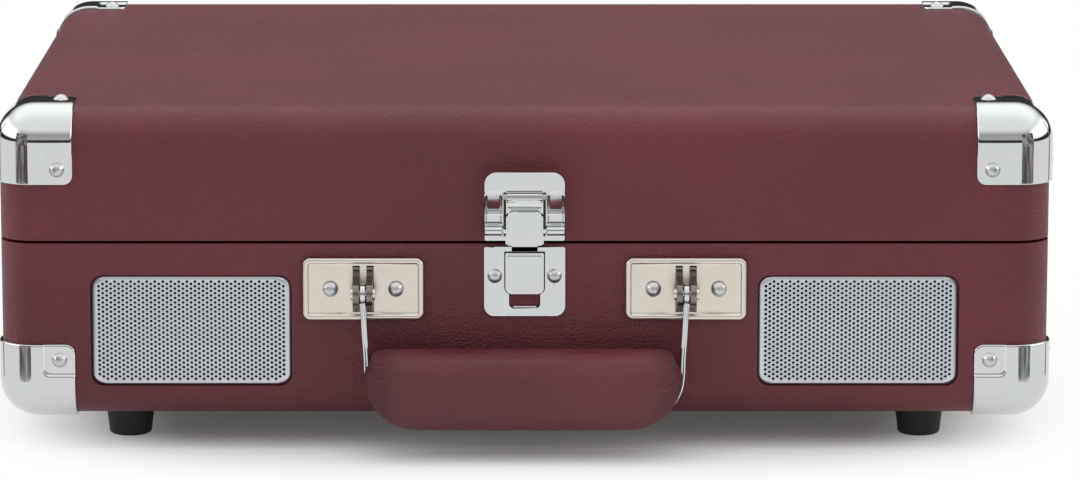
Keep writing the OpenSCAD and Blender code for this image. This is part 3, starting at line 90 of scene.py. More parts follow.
# %% A socket that can do sums
class Wire:
    def __init__(self, bench, socket):
        self.bench, self.socket = bench, socket

    def _sum(self, operation, other, swapped=False):
        pair = (other, self) if swapped else (self, other)
        many = any(isinstance(p, Wire) and p.socket.type in ("VECTOR", "RGBA") for p in pair)
        if many:
            pair = [p if isinstance(p, Wire) or hasattr(p, "__len__") else (p, p, p) for p in pair]
        kind = "ShaderNodeVectorMath" if many else "ShaderNodeMath"
        return self.bench.node(kind, {"operation": operation}, {0: pair[0], 1: pair[1]})

    def __add__(self, other):
        return self._sum("ADD", other)

    def __radd__(self, other):
        return self._sum("ADD", other, True)

    def __sub__(self, other):
        return self._sum("SUBTRACT", other)

    def __rsub__(self, other):
        return self._sum("SUBTRACT", other, True)

    def __mul__(self, other):
        return self._sum("MULTIPLY", other)

    def __rmul__(self, other):
        return self._sum("MULTIPLY", other, True)

    def clamp(self):
        return self.bench.node("ShaderNodeClamp", {}, {"Value": self})

    def size(self):
        return self.bench.node("ShaderNodeMath", {"operation": "ABSOLUTE"}, {0: self})

    def steps(self, low, high):
        """0 below low, 1 above high, smooth between."""
        return self.bench.node("ShaderNodeMapRange", {"interpolation_type": "SMOOTHSTEP"},
                               {"Value": self, "From Min": low, "From Max": high})


print("sums that a socket can do:", sum(name.endswith(("add__", "sub__", "mul__")) for name in vars(Wire)))

# %% [markdown]
# Every finish starts as one Principled shader. `node` adds any other node: its settings
# are made first, because they decide which sockets it has, then its sockets get numbers
# or links. Colours are written as they look on a screen, from 0 to 255, and turned into
# the light values that the renderer works with.

# %% A bench for nodes, and a finish with one shader
def shade(red, green, blue):
    """A colour as seen on a screen, as light values."""
    def light(c):
        c = c / 255
        return c / 12.92 if c <= 0.04045 else ((c + 0.055) / 1.055) ** 2.4
    return (light(red), light(green), light(blue), 1.0)


class Bench:
    """An empty node tree, and ways to add to it."""
    def __init__(self, tree):
        self.tree = tree
        self.tree.nodes.clear()

    def put(self, node, values):
        for key, value in values.items():
            if isinstance(value, Wire):
                self.tree.links.new(value.socket, node.inputs[key])
            else:
                node.inputs[key].default_value = value

    def node(self, kind, settings, values, out=0):
        new = self.tree.nodes.new(kind)
        for key, value in settings.items():
            setattr(new, key, value)
        self.put(new, values)
        return Wire(self, new.outputs[out])


class Finish(Bench):
    """A material with one Principled shader."""
    def __init__(self, name, colour, roughness=0.5, metallic=0.0, **sockets):
        self.material = bpy.data.materials.new(name)
        self.material.use_nodes = True
        super().__init__(self.material.node_tree)
        self.shader = self.tree.nodes.new("ShaderNodeBsdfPrincipled")
        self.out = self.tree.nodes.new("ShaderNodeOutputMaterial")
        self.tree.links.new(self.shader.outputs[0], self.out.inputs[0])
        self.wear({"Base Color": colour, "Roughness": roughness, "Metallic": metallic})
        self.wear({k.replace("_", " "): v for k, v in sockets.items()})

    def wear(self, values):
        """Gives the shader its numbers and what changes over the surface."""
        self.put(self.shader, values)

    def place(self):
        """Where on the object a point lies, in metres."""
        return self.node("ShaderNodeTexCoord", {}, {}, "Object")

    def stretched(self, kind, scale, turn=0.0):
        """The place, turned about y and stretched along the axes."""
        return self.node("ShaderNodeMapping", {"vector_type": kind}, {
            "Vector": self.place(), "Rotation": (0.0, math.radians(turn), 0.0), "Scale": scale})

    def noise(self, scale, detail=3.0, rough=0.5, at=None):
        return self.node("ShaderNodeTexNoise", {}, {
            "Vector": at or self.place(), "Scale": scale, "Detail": detail, "Roughness": rough})

    def cells(self, scale, feature, at):
        return self.node("ShaderNodeTexVoronoi", {"feature": feature},
                         {"Vector": at, "Scale": scale}, "Distance")

    def blend(self, factor, first, second):
        return self.node("ShaderNodeMix", {"data_type": "RGBA"},
                         {0: factor, 6: first, 7: second}, 2)

    def bump(self, height, distance, strength):
        return self.node("ShaderNodeBump", {}, {
            "Height": height, "Distance": distance, "Strength": strength})


def scaled(colour, times, plus=0.0):
    """The colour made lighter or darker, never above full light."""
    return tuple(min(1, c * times + plus) for c in colour[:3]) + (1,)


print("finish bench ready, mid grey is", round(shade(128, 128, 128)[0], 3))

# %% [markdown]
# Leatherette is a cloth-backed vinyl skin. Its grain is pressed in: small irregular
# pebbles under a millimetre across with fine valleys between them. It could be a noise
# alone, but cell distance gives real pebbles. The colour hardly changes, except for
# painted shade in the valleys; it is the bump that shows, where light grazes a rounded
# edge.

# %% Leatherette
def leatherette(name, colour, dark, light, grain=1150.0, depth=0.0003, roughness=0.38, creases=None):
    f = Finish(name, colour, Specular_IOR_Level=0.5)
    spot = f.place() + f.noise(420, 2) * 0.0009
    pebble = f.cells(grain, "SMOOTH_F1", spot)
    valley = f.cells(grain * 0.7, "DISTANCE_TO_EDGE", spot).steps(0.0, 0.22)
    fine = f.noise(3600, 2, 0.6)
    swell = f.noise(240, 3, 0.55)
    height = (1 - pebble) * 0.5 + valley * 0.35 + fine * 0.2 + swell * 1.1
    if creases:
        height = height + creases(f) * 6.0
    cloudy = f.noise(9, 4, 0.6)
    tone = f.blend(cloudy.steps(0.3, 0.75), dark, light)
    f.wear({
        # painted shade: the valleys between the pebbles are mixed towards the dark colour
        "Base Color": f.blend(valley * 0.35 + 0.65, dark, tone),
        "Roughness": roughness + fine * 0.1 + swell * 0.08,
        "Normal": f.bump(height, depth, 1.0)})
    return f.material


def grip_creases(f):
    """Fine folds where the leather is pulled round the two ends of the grip."""
    across = f.node("ShaderNodeSeparateXYZ", {}, {"Vector": f.place()}, "X")
    ends = across.size().steps(0.040, 0.053)
    folds = f.noise(900, 3, 0.6, at=f.stretched("POINT", (0.28, 1.0, 1.0), turn=38))
    return (1 - (folds - 0.5).size()).steps(0.86, 1.0) * ends * -1.0


case_skin = leatherette("burgundy_leatherette", shade(95, 27, 39), shade(84, 20, 31), shade(99, 29, 41))
grip_skin = leatherette("grip_leather", shade(94, 34, 45), shade(82, 25, 35), shade(98, 36, 47),
                        grain=1300, depth=0.00013, roughness=0.42, creases=grip_creases)
print("leatherette: two finishes")

# %% [markdown]
# Plated steel shows almost no colour of its own. What makes it look real is a slight haze,
# faint polishing lines and a surface that isn't perfectly flat, so that reflections waver.

# %% Plating and steel
def plating(name, colour, roughness, waver=0.00003, lines=0.0, line_axis=0):
    f = Finish(name, colour, roughness, 1.0)
    haze = f.noise(150, 3, 0.6)
    soft = f.noise(75, 1, 0.3)
    along = tuple(60.0 if axis == line_axis else 1.0 for axis in range(3))
    drawn = f.noise(5200, 2, 0.5, at=f.stretched("TEXTURE", along))
    f.wear({
        "Base Color": f.blend(haze.steps(0.35, 0.75) * 0.12, colour, scaled(colour, 0.86)),
        "Roughness": (haze * 0.08 + drawn * lines + (roughness - 0.04)).clamp(),
        "Normal": f.bump(soft + drawn * lines * 0.2, waver, 0.6)})
    return f.material


bright_nickel = plating("bright_nickel", shade(205, 207, 208), 0.06, 0.00016)
satin_nickel = plating("satin_nickel", shade(221, 214, 202), 0.27, 0.00001, 0.05)
plain_steel = plating("plain_steel", shade(190, 190, 188), 0.28, 0.00002, 0.3)
grille_metal = plating("grille_metal", shade(203, 208, 212), 0.25, 0.00001, 0.1)
brass = plating("plated_brass", shade(225, 190, 110), 0.18)
alloy = plating("arm_alloy", shade(214, 214, 214), 0.22, 0.00002, 0.3, line_axis=1)
# painted shade: a darker steel for the bracket ears, which show only inside the slots
slot_shade_steel = plating("bracket_slot_shade", shade(128, 124, 117), 0.2, 0.00002, 0.1)
rivet_nickel = plating("rivet_nickel", shade(200, 202, 203), 0.34, 0.000002)
print("metals: eight finishes")

# %% [markdown]
# Moulded plastic has a fine spark-eroded texture, rubber is duller and picks up dust, raw
# wood shows long fibres, and felt is all fuzz. Each needs only a noise or two at the right
# size.

# %% Plastics, rubber, wood, cloth
def moulded(name, colour, roughness, grain=2600.0, depth=0.00003):
    f = Finish(name, colour, roughness)
    speck = f.noise(grain, 2, 0.6)
    dust = f.noise(30, 4, 0.65)
    f.wear({
        "Base Color": f.blend(dust.steps(0.3, 0.8) * 0.25, colour, scaled(colour, 1.5, 0.004)),
        "Roughness": roughness + speck * 0.12 - 0.06,
        "Normal": f.bump(speck, depth, 0.7)})
    return f.material


def board(name, light, dark):
    f = Finish(name, light, 0.7)
    grain = f.noise(420, 4, 0.6, at=f.stretched("TEXTURE", (24.0, 1.0, 1.0)))
    f.wear({
        "Base Color": f.blend(grain.steps(0.35, 0.65), dark, light),
        "Normal": f.bump(grain, 0.0001, 0.6)})
    return f.material


def cloth(name, colour, pile=1500.0, depth=0.0002, sheen=0.4):
    f = Finish(name, colour, 0.9, Sheen_Weight=sheen, Sheen_Roughness=0.4, Specular_IOR_Level=0.2)
    fuzz = f.noise(pile, 4, 0.7)
    patch = f.noise(25, 3, 0.6)
    lit = (fuzz.steps(0.3, 0.7) * 0.6 + patch * 0.3).clamp()
    f.wear({
        "Base Color": f.blend(lit, colour, scaled(colour, 1.7)),
        "Normal": f.bump(fuzz, depth, 0.9)})
    return f.material


gauze = cloth("black_gauze", shade(12, 12, 13), 2600, 0.0001, 0.05)
print("soft finishes ready")

# %% [markdown]
# The record names one material slot for each solid, and a table turns slots into finishes.
# Two kinds of solid get a finish of their own: the brackets in the handle plates get a
# darker steel as painted shade, since they show only through the plates' slots, and the
# small rivets are a little duller.

# %% Finishes onto the solids
FINISHES = {
    "case_wood": board("case_wood", shade(196, 160, 118), shade(160, 122, 84)),
    "leatherette": case_skin,
    "bright_nickel": bright_nickel,
    "satin_nickel": satin_nickel,
    "steel": plain_steel,
    "grille_metal": grille_metal,
    "speaker_basket": moulded("basket_paint", shade(34, 34, 36), 0.45),
    "speaker_paper": cloth("cone_paper", shade(26, 25, 25), 900, 0.00012, 0.1),
    "foot_rubber": moulded("foot_rubber", shade(20, 18, 19), 0.62, 1800, 0.00005),
    "deck_panel": moulded("deck_panel", shade(74, 36, 44), 0.5, 1500, 0.00008),
    "motor_case": plating("motor_can", shade(176, 177, 180), 0.35),
    "circuit_board": moulded("board_lacquer", shade(22, 86, 52), 0.35),
    "wire_cover": moulded("wire_cover", shade(150, 28, 24), 0.45),
    "black_plastic": moulded("black_plastic", shade(28, 28, 30), 0.42),
    "knob_plastic": moulded("knob_plastic", shade(22, 22, 24), 0.28),
    "brass": brass,
    "lid_lining": cloth("lid_lining", shade(46, 38, 40)),
    "platter_metal": moulded("platter_enamel", shade(38, 38, 40), 0.35),
    "slipmat": cloth("slipmat_felt", shade(22, 22, 23), 1700, 0.00025),
    "belt_rubber": moulded("belt_rubber", shade(18, 18, 18), 0.5),
    "arm_alloy": alloy,
    "cartridge_plastic": moulded("cartridge_plastic", shade(150, 26, 28), 0.25),
    "switch_plastic": moulded("switch_plastic", shade(214, 208, 196), 0.35),
}
slot_of = {part["node"]: part["material_slot"] for part in frame["record"]["subparts"]}
for name, solid in nodes.items():
    finish = FINISHES[slot_of[name]]
    # painted shade: the brackets sit in the plates' slots, so their steel is painted darker
    if name == "handle_brackets":
        finish = slot_shade_steel
    elif name.endswith("rivets"):
        finish = rivet_nickel
    for holder in solid.material_slots:
        holder.material = finish
print("finishes on", len(slot_of), "solids")

# %% [markdown]
# New pieces are made as meshes in the same place as the solid they stand for. `keep_piece`
# gives one its finish, the body it moves with and the solid it takes the place of. Most of
# them are skinned over a row of rings, so `loft` joins each ring to the next.

# %% From points to a piece
def loft(work, rings, ends=True):
    """Joins each ring of points to the next, and closes the two ends."""
    for ring, after in zip(rings, rings[1:]):
        for k in range(len(ring)):
            m = (k + 1) % len(ring)
            work.faces.new([ring[k], after[k], after[m], ring[m]])
    if ends:
        work.faces.new(rings[0])
        work.faces.new(rings[-1])


def mesh_from(work, name, turn=True):
    """The finished work as a mesh; turn makes its faces look outwards."""
    if turn:
        bmesh.ops.recalc_face_normals(work, faces=work.faces)
    mesh = bpy.data.meshes.new(name)
    work.to_mesh(mesh)
    work.free()
    return mesh


def keep_piece(name, mesh, body, slot, *solids, smooth=40):
    piece = bpy.data.objects.new(name, mesh)
    scene.collection.objects.link(piece)
    mesh.materials.append(FINISHES[slot])
    mesh.shade_smooth()
    if smooth:
        mesh.set_sharp_from_angle(angle=math.radians(smooth))
    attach(piece, body)
    if solids:
        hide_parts(*solids)
    print(name, len(mesh.polygons), "faces")
    return piece


def smooth_step(low, high, value):
    t = min(1.0, max(0.0, (value - low) / (high - low)))
    return t * t * (3 - 2 * t)


print("halfway up a smooth step:", smooth_step(0, 1, 0.5))

# %% [markdown]
# The latch and the handle plates are pressed from sheet. A pressed part is drawn flat, as
# its outline with its holes, cut into narrow strips so that it can bend, and then pushed
# out to the depth that each point has on the real part. The sheet gets its thickness
# last, and its cut edges are rounded, because that small radius is where chrome is bright.
# Its sizes are in millimetres, and depth is how far it stands off the case's front face.

# %% Pressed sheet
def outline(half_w, low, high, r_low, r_high, mid=0.0, steps=7):
    """A rounded plate seen from the front, counter-clockwise from its lower right corner."""
    ring = []
    for q, (sx, z, r) in enumerate(((1, low + r_low, r_low), (1, high - r_high, r_high),
                                    (-1, high - r_high, r_high), (-1, low + r_low, r_low))):
        for k in range(steps + 1 if r > 0 else 1):
            a = math.radians(90 * (q - 1) + (90 * k / steps if r > 0 else 0))
            ring.append((mid + sx * (half_w - r) + r * math.cos(a), z + r * math.sin(a)))
    return ring


def spaced(low, high, step):
    """Even cuts from low to high, a hair aside so that none runs through a corner."""
    count = max(1, round((high - low) / step))
    return [low + (high - low) * k / count + 1.3e-4 for k in range(count + 1)]


def press(work, ring, depth, thick, holes=(), cut_z=(), cut_x=()):
    """Adds one pressed sheet; depth is a number, or a function of x and z."""
    part = bmesh.new()
    edges = []
    for loop in [ring, *holes]:
        verts = [part.verts.new((x, 0, z)) for x, z in loop]
        edges += [part.edges.new((verts[k], verts[(k + 1) % len(verts)])) for k in range(len(verts))]
    bmesh.ops.triangle_fill(part, use_beauty=True, use_dissolve=False, edges=edges)
    for at, across in [((0, 0, z), (0, 0, 1)) for z in cut_z] + [((x, 0, 0), (1, 0, 0)) for x in cut_x]:
        bmesh.ops.bisect_plane(part, geom=[*part.verts, *part.edges, *part.faces], dist=1e-5,
                               plane_co=at, plane_no=across)
    fronts, backs = {}, {}
    for v in part.verts:
        x, z = v.co.x, v.co.z
        off = depth(x, z) if callable(depth) else depth
        fronts[v] = work.verts.new((x * MM, FACE_Y - off * MM, z * MM))
    for v in part.verts:
        backs[v] = work.verts.new(fronts[v].co + Vector((0, thick * MM, 0)))
    for face in part.faces:
        verts = list(face.verts) if face.normal.y < 0 else list(face.verts)[::-1]
        work.faces.new([fronts[v] for v in verts])
        work.faces.new([backs[v] for v in reversed(verts)])
    for edge in part.edges:
        if len(edge.link_faces) == 1:
            a, b = edge.verts
            work.faces.new([fronts[a], fronts[b], backs[b], backs[a]])
    part.free()


def pressed(name, work, body, slot, solid, edge=0.25, corner=50):
    """Keeps the work as one piece, with cut edges rounded over `edge` millimetres."""
    bmesh.ops.remove_doubles(work, verts=work.verts, dist=1e-7)
    piece = keep_piece(name, mesh_from(work, name), body, slot, solid, smooth=corner)
    rounded = piece.modifiers.new("rounded_edges", "BEVEL")
    rounded.width, rounded.segments = edge * MM, 3
    rounded.limit_method, rounded.angle_limit = "ANGLE", math.radians(corner)
    rounded.use_clamp_overlap = True
    even = piece.modifiers.new("even_faces", "WEIGHTED_NORMAL")
    even.keep_sharp = False


ROLL_END, ROLL_DROP = 0.25, 0.22


def add_roll(work, x0, x1, centre_out, centre_z, r, steps=28, slot=None):
    """A rolled tube along x; slot is (half length, from angle, to angle, depth) in its middle."""
    xs = sorted({x0, x0 + ROLL_END, x1 - ROLL_END, x1} | ({-slot[0], slot[0]} if slot else set()))
    rings = []
    for x in xs:
        drop = ROLL_DROP if x in (x0, x1) else 0.0
        ring = []
        for k in range(steps):
            degrees = 360 * k / steps
            a = math.radians(degrees)
            inside = slot and abs(x) < slot[0] + 1e-6 and slot[1] <= degrees <= slot[2]
            here = r - drop - (slot[3] if inside else 0)
            out, z = centre_out + here * math.cos(a), centre_z + here * math.sin(a)
            ring.append(work.verts.new((x * MM, FACE_Y - out * MM, z * MM)))
        rings.append(ring)
    loft(work, rings)


print("a plate with four round corners has", len(outline(10, 0, 10, 2, 2)), "points")

# %% [markdown]
# The lever is one sheet: a broad band to pull on and two arms that curve back towards the
# lid and end in rolls round the pivot pin. It could be a bent box, but its shine comes
# from the curved arms, so its depth runs smoothly from the band to the rolls.

# %% Latch lever
LEVER_LOW, LEVER_HIGH = (v.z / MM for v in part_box("latch_lever"))
LEVER_HIGH += 1.1  # the band's rounded top edge stands a little above the solid's
LEVER_HALF, ARM_IN, BAND_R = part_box("latch_lever")[1].x / MM, 7.5, 4.2
PIN_Z, PIN_OUT, ROLL_R = LEVER_LOW + 2.5, 3.6, 1.8
ARMS_LOW = PIN_Z + 1.2
LEVER_DEPTH = [(ARMS_LOW, 2.6), (PIN_Z + 2.6, 2.3), (LEVER_HIGH - 15.6, 2.2), (LEVER_HIGH - 15, 2.4),
               (LEVER_HIGH - 7.8, 6.95), (LEVER_HIGH - 7.1, 7.25), (LEVER_HIGH - 6.4, 7.4),
               (LEVER_HIGH, 7.45)]


def curve_at(points, at):
    """Straight from one (place, value) point to the next, level beyond the ends."""
    if at <= points[0][0]:
        return points[0][1]
    for (a, value_a), (b, value_b) in zip(points, points[1:]):
        if at <= b:
            return value_a + (value_b - value_a) * (at - a) / (b - a)
    return points[-1][1]


def lever_depth(x, z):
    """The curve of the sheet, crowned across the band, with turned-up rims along the arms."""
    inset = min(abs(x) - ARM_IN, LEVER_HALF - abs(x))
    rim = 0.6 * (1 - smooth_step(0.0, 1.1, inset)) * (1 - smooth_step(LEVER_HIGH - 8, LEVER_HIGH - 6.4, z))
    crown = 0.3 * (1 - (x / LEVER_HALF) ** 2) * smooth_step(LEVER_HIGH - 8, LEVER_HIGH - 6, z)
    return curve_at(LEVER_DEPTH, z) + rim + crown


opening = [p for p in outline(ARM_IN, PIN_Z - 3, LEVER_HIGH - 6.3, 0, 1.6) if p[1] > ARMS_LOW]
band = [p for p in outline(LEVER_HALF, ARMS_LOW, LEVER_HIGH, 0, BAND_R, steps=12) if p[1] > ARMS_LOW + 0.1]
right, left = [p for p in opening if p[0] >= 0], [p for p in opening if p[0] < 0]
lever_ring = [(ARM_IN, ARMS_LOW), (LEVER_HALF, ARMS_LOW), *band,
              (-LEVER_HALF, ARMS_LOW), (-ARM_IN, ARMS_LOW), *left[::-1], *right[::-1]]
rim_cuts = [side * (edge + way * step) for side in (-1, 1) for edge, way in ((ARM_IN, 1), (LEVER_HALF, -1))
            for step in (0.25, 0.55, 0.85, 1.15)]
work = bmesh.new()
press(work, lever_ring, lever_depth, thick=0.65, cut_z=spaced(ARMS_LOW + 0.4, LEVER_HIGH - 0.2, 0.45),
      cut_x=rim_cuts + [-6, -4, -2, 0.01, 2, 4, 6])
for side in (-1, 1):
    add_roll(work, *sorted((side * ARM_IN, side * LEVER_HALF)), PIN_OUT, PIN_Z, ROLL_R)
pressed("pressed_lever", work, "lever", "bright_nickel", "latch_lever", edge=0.3, corner=62)

# %% [markdown]
# The hasp hangs on its own pin above the lever's. It is a slotted barrel, a flat neck, a
# raised pad with turned-back sides, and a foot below the pad. The foot reaches into the
# top strip of the catch plate, and their fronts coincide, which shows as a dark patch.

# %% Hasp
HASP_LOW, HASP_HIGH = PIN_Z - 5.1, PIN_Z + 6.6
FOOT_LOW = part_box("latch_hasp")[0].z / MM
BARREL_Z, BARREL_OUT, BARREL_HALF, BARREL_R = PIN_Z + 11.0, 2.7, 6.05, 1.75
NECK_HALF, PAD_HALF, SIDES_HALF, FOOT_HALF = 5.6, 5.75, 6.45, 4.4
NECK_LOW, NECK_HIGH = HASP_HIGH - 1.5, BARREL_Z - 0.6
NECK_DEPTH = [(NECK_LOW, 2.9), (HASP_HIGH + 0.8, 2.9), (HASP_HIGH + 1.6, 3.5), (NECK_HIGH, 3.9)]


def pad_depth(x, z):
    """Nearly flat, rounded off towards the sides, with a shallow thumb dimple low down."""
    dimple = math.exp(-(x / 3.2) ** 2 - ((z - HASP_LOW - 3.6) / 1.7) ** 2)
    return 4.45 - 0.3 * (x / PAD_HALF) ** 4 - 0.16 * dimple


work = bmesh.new()
add_roll(work, -BARREL_HALF, BARREL_HALF, BARREL_OUT, BARREL_Z, BARREL_R, slot=(2.7, 320, 345, 0.9))
press(work, outline(NECK_HALF, NECK_LOW, NECK_HIGH, 0, 0), lambda x, z: curve_at(NECK_DEPTH, z), thick=1.1,
      cut_z=spaced(NECK_LOW + 0.3, NECK_HIGH - 0.3, 0.4))
press(work, outline(PAD_HALF, HASP_LOW, HASP_HIGH, 0.5, 1.9), pad_depth, thick=1.7,
      cut_z=spaced(HASP_LOW + 0.5, HASP_HIGH - 0.5, 0.6), cut_x=spaced(-5.5, 5.5, 0.6))
press(work, outline(SIDES_HALF, HASP_LOW + 0.2, HASP_HIGH - 1.2, 0.4, 1.6), depth=3.1, thick=0.6)
press(work, outline(FOOT_HALF, FOOT_LOW, HASP_LOW + 1.0, 0.3, 0), depth=1.0, thick=0.7)
pressed("pressed_hasp", work, "hasp", "bright_nickel", "latch_hasp", edge=0.5)

# %% [markdown]
# The catch plate is a flat plate with a raised pocket below the hasp and a window under
# that, whose lower lip is rolled in. A groove runs round the pocket, so the window and the
# groove are one keyhole-shaped opening. Its right half is drawn and then mirrored.

# %% Catch plate
CATCH_LOW, CATCH_HIGH = (v.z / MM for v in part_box("catch_plate"))
POCKET_LOW, POCKET_HIGH = CATCH_HIGH - 16, CATCH_HIGH - 2
WINDOW_LOW, WINDOW_HALF = CATCH_HIGH - 21, 5.3
CATCH_HALF, POCKET_HALF, GROOVE_HALF, GROOVE_R = 13.7, 6.5, 6.9, 2.4
LIP_HALF, LIP_OUT, LIP_R = 4.0, 0.62, 0.5

window = outline(WINDOW_HALF, WINDOW_LOW, POCKET_LOW, 1.3, 0)
half = [p for p in window if p[0] > 0 and p[1] < POCKET_LOW - 1] + [(WINDOW_HALF, POCKET_LOW - 0.3)]
for degrees in range(-68, 1, 17):
    a = math.radians(degrees)
    half.append((GROOVE_HALF - GROOVE_R + GROOVE_R * math.cos(a), POCKET_LOW + 2 + GROOVE_R * math.sin(a)))
half.append((GROOVE_HALF, POCKET_HIGH + 0.4))
keyhole = half + [(-x, z) for x, z in reversed(half)]

work = bmesh.new()
press(work, outline(CATCH_HALF, CATCH_LOW, CATCH_HIGH, 3.4, 0.5), depth=1.0, thick=0.8, holes=[keyhole],
      cut_z=spaced(CATCH_LOW + 0.8, CATCH_HIGH - 0.8, 0.7), cut_x=spaced(-13, 13, 0.65))
press(work, outline(POCKET_HALF, POCKET_LOW - 0.1, POCKET_HIGH + 0.1, 2.1, 0.6), depth=1.8, thick=1.2)
press(work, outline(PAD_HALF, POCKET_LOW + 0.5, POCKET_HIGH - 0.9, 1.8, 0.5),
      lambda x, z: 3.25 - 0.25 * (x / PAD_HALF) ** 4, thick=2.0, cut_x=spaced(-5.4, 5.4, 0.6))
press(work, outline(PAD_HALF, POCKET_HIGH - 0.7, POCKET_HIGH + 0.05, 0.2, 0.2), depth=2.6, thick=1.5)
add_roll(work, -LIP_HALF, LIP_HALF, LIP_OUT, WINDOW_LOW + 0.3, LIP_R)
pressed("pressed_catch_plate", work, "base", "bright_nickel", "catch_plate", edge=0.45)

# %% [markdown]
# The plate on the lid is the upper half of the latch. Two ears stand out from it and carry
# both pins, the lever's below and the hasp's above.

# %% Lid plate
LID_PLATE_LOW, LID_PLATE_HIGH = (v.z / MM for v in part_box("latch_plate"))
LID_PLATE_HALF, EAR_IN, EAR_OUT, PIN_R = 13.5, 6.25, 7.15, 0.85
EAR = [(0.3, PIN_Z - 3), (PIN_OUT, PIN_Z - 2), (PIN_OUT + 1.6, PIN_Z - 1), (PIN_OUT + 1.9, PIN_Z),
       (PIN_OUT + 1.6, PIN_Z + 1), (BARREL_OUT + 1.3, BARREL_Z - 0.6), (BARREL_OUT + 1.3, BARREL_Z + 0.6),
       (BARREL_OUT + 0.5, BARREL_Z + 1.4), (0.3, BARREL_Z + 1.6)]

work = bmesh.new()
press(work, outline(LID_PLATE_HALF, LID_PLATE_LOW, LID_PLATE_HIGH - 1, 0.5, 1.5), depth=0.9, thick=0.75)
for side in (-1, 1):
    loft(work, [[work.verts.new((side * x * MM, FACE_Y - out * MM, z * MM)) for out, z in EAR]
                for x in (EAR_IN, EAR_OUT)])
    add_roll(work, *sorted((side * EAR_IN, side * (LEVER_HALF - 0.4))), PIN_OUT, PIN_Z, PIN_R)
add_roll(work, -EAR_OUT - 0.4, EAR_OUT + 0.4, BARREL_OUT, BARREL_Z, PIN_R)
pressed("pressed_lid_plate", work, "lid", "bright_nickel", "latch_plate")

# %% [markdown]
# Each handle plate has a raised rounded rim round a flat panel, and two slots for the ears
# of the bracket behind it. The rim is a half circle in section, so the cuts lie close
# together there and nowhere else.

# %% Handle plates
HINGE_X, HINGE_Z, HINGE_OUT = 54.6, 55.2, 7.0
PLATE_LOW, PLATE_HIGH = (v.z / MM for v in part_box("handle_plates"))
PLATE_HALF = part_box("handle_plates")[1].x / MM - HINGE_X
PLATE_MID, PLATE_R = (PLATE_LOW + PLATE_HIGH) / 2, 2.6
SLOT_AWAY, SLOT_HALF, SLOT_REACH = 2.35, 1.3, 8
RIM_CUTS = [0.08, 0.22, 0.42, 0.7, 1.0, 1.3, 1.58, 1.78, 1.92, 2.0, 2.3]


def plate_depth(x, z, mid):
    dx, dz = PLATE_HALF - abs(x - mid), min(PLATE_HIGH - z, z - PLATE_LOW)
    in_corner = dx < PLATE_R and dz < PLATE_R
    inset = PLATE_R - math.hypot(PLATE_R - dx, PLATE_R - dz) if in_corner else min(dx, dz)
    return 1.4 + 0.8 * math.sqrt(max(0.0, 1 - (max(0.0, min(2.0, inset)) - 1.0) ** 2))


work = bmesh.new()
for mid in (-HINGE_X, HINGE_X):
    slots = [outline(SLOT_HALF, PLATE_MID - SLOT_REACH, PLATE_MID + SLOT_REACH, 0.4, 0.4, mid + off, 3)
             for off in (-SLOT_AWAY, SLOT_AWAY)]
    press(work, outline(PLATE_HALF, PLATE_LOW, PLATE_HIGH, PLATE_R, PLATE_R, mid),
          lambda x, z: plate_depth(x, z, mid), thick=0.7, holes=slots,
          cut_z=[PLATE_LOW + v for v in RIM_CUTS] + [PLATE_HIGH - v for v in RIM_CUTS],
          cut_x=[mid - PLATE_HALF + v for v in RIM_CUTS] + [mid + PLATE_HALF - v for v in RIM_CUTS])
pressed("pressed_handle_plates", work, "base", "satin_nickel", "handle_plates")

# %% [markdown]
# The strap is one bent bar: an eye round each pin, two arms that lean in a little, and the
# bar inside the grip. Its section is a rounded flat with a shallow groove along the front,
# swept along the middle line of one arm and its mirror image.

# %% Bent strap
STRAP_HALF_T, STRAP_HALF_W, STRAP_SOFT, EYE_R = 1.0, 4.0, 0.55, 3.6
ARM_LINE = [(HINGE_X, HINGE_Z - 2.6), (54.35, 50), (53.95, 42), (53.4, 34), (53.2, 28), (52.3, 22.5),
            (49.3, 17.6), (44.5, 14.8), (38, 13.9), (20, 13.8)]


def smooth_path(points, each=6):
    """A Catmull-Rom curve through points in the plane."""
    out = []
    full = [points[0]] + points + [points[-1]]
    for corners in zip(full, full[1:], full[2:], full[3:]):
        for k in range(each):
            t = k / each
            out.append(tuple(0.5 * (2 * q + (r - p) * t + (2 * p - 5 * q + 4 * r - w) * t * t
                                    + (3 * q - p - 3 * r + w) * t ** 3) for p, q, r, w in zip(*corners)))
    return out + [points[-1]]


section = []
for q, (st, sw) in enumerate(((1, 1), (-1, 1), (-1, -1), (1, -1))):
    for k in range(4):
        a = math.radians(90 * q + 30 * k)
        section.append((st * (STRAP_HALF_T - STRAP_SOFT) + STRAP_SOFT * math.cos(a),
                        sw * (STRAP_HALF_W - STRAP_SOFT) + STRAP_SOFT * math.sin(a)))
    if q == 0:
        section += [(0.3, STRAP_HALF_W - 0.2), (0.0, STRAP_HALF_W - 0.3), (-0.3, STRAP_HALF_W - 0.2)]

line = smooth_path(ARM_LINE)
line = line + [(-x, z) for x, z in reversed(line)]
work = bmesh.new()
rings = []
for i, (x, z) in enumerate(line):
    before, after = line[max(0, i - 1)], line[min(len(line) - 1, i + 1)]
    run = math.dist(before, after)
    nx, nz = (before[1] - after[1]) / run, (after[0] - before[0]) / run
    rings.append([work.verts.new(((x + nx * t) * MM, FACE_Y - (HINGE_OUT + w) * MM, (z + nz * t) * MM))
                  for t, w in section])
loft(work, rings)
for mid in (-HINGE_X, HINGE_X):
    add_roll(work, mid - 1, mid + 1, HINGE_OUT, HINGE_Z, EYE_R, steps=32)
keep_piece("bent_strap", mesh_from(work, "bent_strap"), "handle", "bright_nickel", "handle_strap")

# %% [markdown]
# The grip is foam in a leather sleeve. Its form is lofted from side-view rings: nearly
# square and full, thinner at the ends, with large lower corners and a notch beside each
# arm. The rings stand close together at the ends, where the form turns fast.

